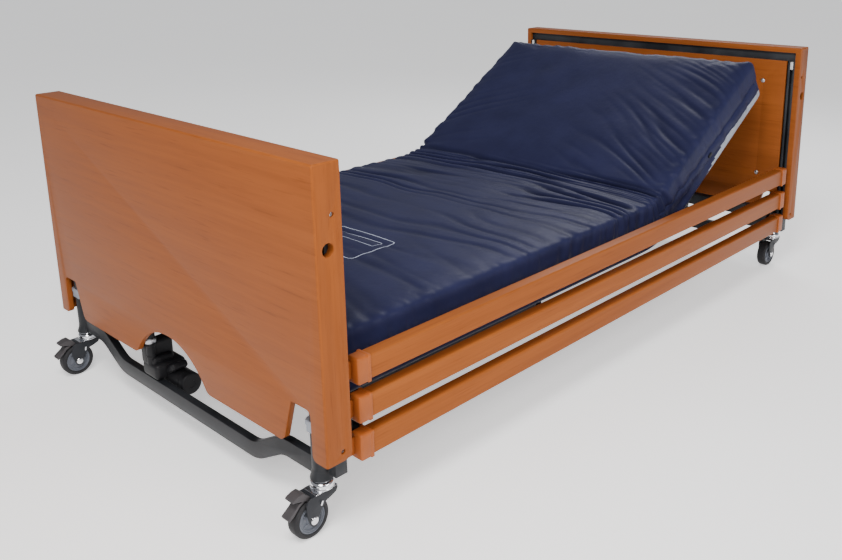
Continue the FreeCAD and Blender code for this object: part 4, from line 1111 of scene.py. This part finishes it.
def build_mattress_trim(parts):
    """The printed outline box on the calf section and the zip flap's black tab."""
    tree = surface_of(parts[2].data)

    def on_top(x, y):
        found = tree.ray_cast(Vector((x, y, 0.6)), -Z)
        return found[0] + 0.0005 * Z if found[0] else Vector((x, y, MATTRESS["height"] + DECK_TOP))

    def ribbon(work, points, width):
        rows = []
        for n, (x, y) in enumerate(points):
            before = Vector(points[n - 1])
            after = Vector(points[(n + 1) % len(points)])
            along = (after - before).normalized()
            across = Vector((-along.y, along.x)) * width / 2
            rows.append([work.verts.new(on_top(x + s * across.x, y + s * across.y)) for s in (-1, 1)])
        for n, row in enumerate(rows):
            other = rows[(n + 1) % len(rows)]
            work.faces.new((row[0], other[0], other[1], row[1]))

    def outline(x0, x1, y0, y1, radius, step=0.006):
        points = []
        for cx, cy, a in ((x1, y1, 0), (x0, y1, 90), (x0, y0, 180), (x1, y0, 270)):
            ox, oy = math.copysign(radius, cx - (x0 + x1) / 2), math.copysign(radius, cy - (y0 + y1) / 2)
            for n in range(7):
                t = math.radians(a + 15 * n)
                points.append((cx - ox + radius * math.cos(t), cy - oy + radius * math.sin(t)))
        dense = []
        for n, p in enumerate(points):
            q = points[(n + 1) % len(points)]
            count = max(1, int(math.dist(p, q) / step))
            dense += [[a + (b - a) * m / count for a, b in zip(p, q)] for m in range(count)]
        return dense

    def prints(work):
        y = CENTRE_Y - 0.61
        ribbon(work, outline(-0.01, 0.21, y - 0.08, y + 0.08, 0.012), 0.003)
        ribbon(work, outline(0.015, 0.185, y + 0.02, y + 0.055, 0.006), 0.0018)

    piece("mattress_print", "label_print", "calf_section", prints)

    path, step = bend_path(MATTRESS["length"])
    y, z, lean = path[round((HINGE_S + 0.36) / step)]
    height = MATTRESS["height"] * 0.34
    spot = Vector((0.7, y - height * math.sin(lean), z + height * math.cos(lean)))
    found = surface_of(parts[0].data).ray_cast(spot, -X)
    wall = found[0].x if found[0] else MATTRESS["half"]

    def tab(work):
        low, high = Vector((-0.001, -0.01, -0.0045)), Vector((0.0035, 0.01, 0.0045))
        slab(work, low, high, 0.001)
        bmesh.ops.rotate(work, verts=work.verts, cent=(0, 0, 0), matrix=Matrix.Rotation(lean, 3, "X"))
        bmesh.ops.translate(work, verts=work.verts, vec=(wall, spot.y, spot.z))

    piece("zip_tab", "motor_plastic", "backrest", tab)


# ---- camera, light, floor
def build_stage():
    """The camera at its viewing angle, a pale floor and soft studio light."""
    camera = bpy.data.cameras.new("camera")
    camera.sensor_width = 36.0
    camera.lens = 38.63
    camera.shift_x = -0.0306
    camera.shift_y = -0.1297
    camera.clip_end = 60
    holder = bpy.data.objects.new("camera", camera)
    link(holder)
    yaw, pitch, roll = (math.radians(v) for v in (-43.99, -14.72, -0.92))
    ahead = Vector((math.sin(yaw) * math.cos(pitch), math.cos(yaw) * math.cos(pitch), math.sin(pitch)))
    right = Vector((math.cos(yaw), -math.sin(yaw), 0))
    up = right.cross(ahead)
    across = right * math.cos(roll) + up * math.sin(roll)
    over = up * math.cos(roll) - right * math.sin(roll)
    turn = Matrix((across, over, -ahead)).transposed()
    place = Vector((1.873, CENTRE_Y - 2.056, 1.201))
    holder.matrix_world = Matrix.Translation(place) @ turn.to_4x4()
    bpy.context.scene.camera = holder

    work = bmesh.new()
    bmesh.ops.create_grid(work, x_segments=8, y_segments=8, size=30)
    floor_mesh = write_mesh("floor", work)
    floor = Finish(
        "floor", (0.9, 0.9, 0.9), 0.85,
        Emission_Color=(1, 1, 1, 1), Emission_Strength=0.62, Specular_IOR_Level=0.2,
    )
    floor.colour(floor.ramp(floor.noise(0.8, 3.0), [(0.3, (0.89, 0.89, 0.89)), (0.7, (0.92, 0.92, 0.92))]))
    floor_mesh.materials.append(floor.material)
    ground = bpy.data.objects.new("floor", floor_mesh)
    link(ground)

    world = bpy.data.worlds.new("studio")
    world.use_nodes = True
    sky = world.node_tree.nodes["Background"].inputs
    sky["Color"].default_value = (0.95, 0.96, 1.0, 1)
    sky["Strength"].default_value = 0.32
    bpy.context.scene.world = world

    def lamp(name, place, target, size, power, colour=(1, 1, 1)):
        light = bpy.data.lights.new(name, "AREA")
        light.shape = "RECTANGLE"
        light.size, light.size_y = size
        light.energy = power
        light.color = colour
        made = bpy.data.objects.new(name, light)
        made.location = place
        made.rotation_euler = (Vector(target) - Vector(place)).to_track_quat("-Z", "Y").to_euler()
        link(made)

    lamp("key", (1.3, CENTRE_Y - 2.2, 3.3), (0, CENTRE_Y + 0.1, 0.3), (1.3, 1.3), 122, (1.0, 0.98, 0.96))
    lamp("back", (-0.9, CENTRE_Y + 2.9, 2.5), (0, CENTRE_Y - 0.2, 0.35), (2.2, 0.8), 46, (0.97, 0.98, 1.0))
    lamp("side", (4.2, CENTRE_Y - 0.2, 2.0), (0, CENTRE_Y, 0.4), (2.0, 1.0), 74, (1.0, 0.98, 0.97))
    lamp("front", (1.6, CENTRE_Y - 2.3, 1.5), (0.45, CENTRE_Y - 1.0, 0.6), (0.7, 0.7), 20, (1.0, 0.97, 0.94))


build_stage()
build_steel_and_wood()
build_rail_caps()
build_fixings()
build_columns()
for corner in ("foot_right", "foot_left", "head_right", "head_left"):
    build_castor(corner)
for corner in ("foot_right", "foot_left"):
    build_pedal(corner)
for end in ("head", "foot"):
    build_lift(end)
build_actuators()
build_control_box()
build_mattress_trim(build_mattress())
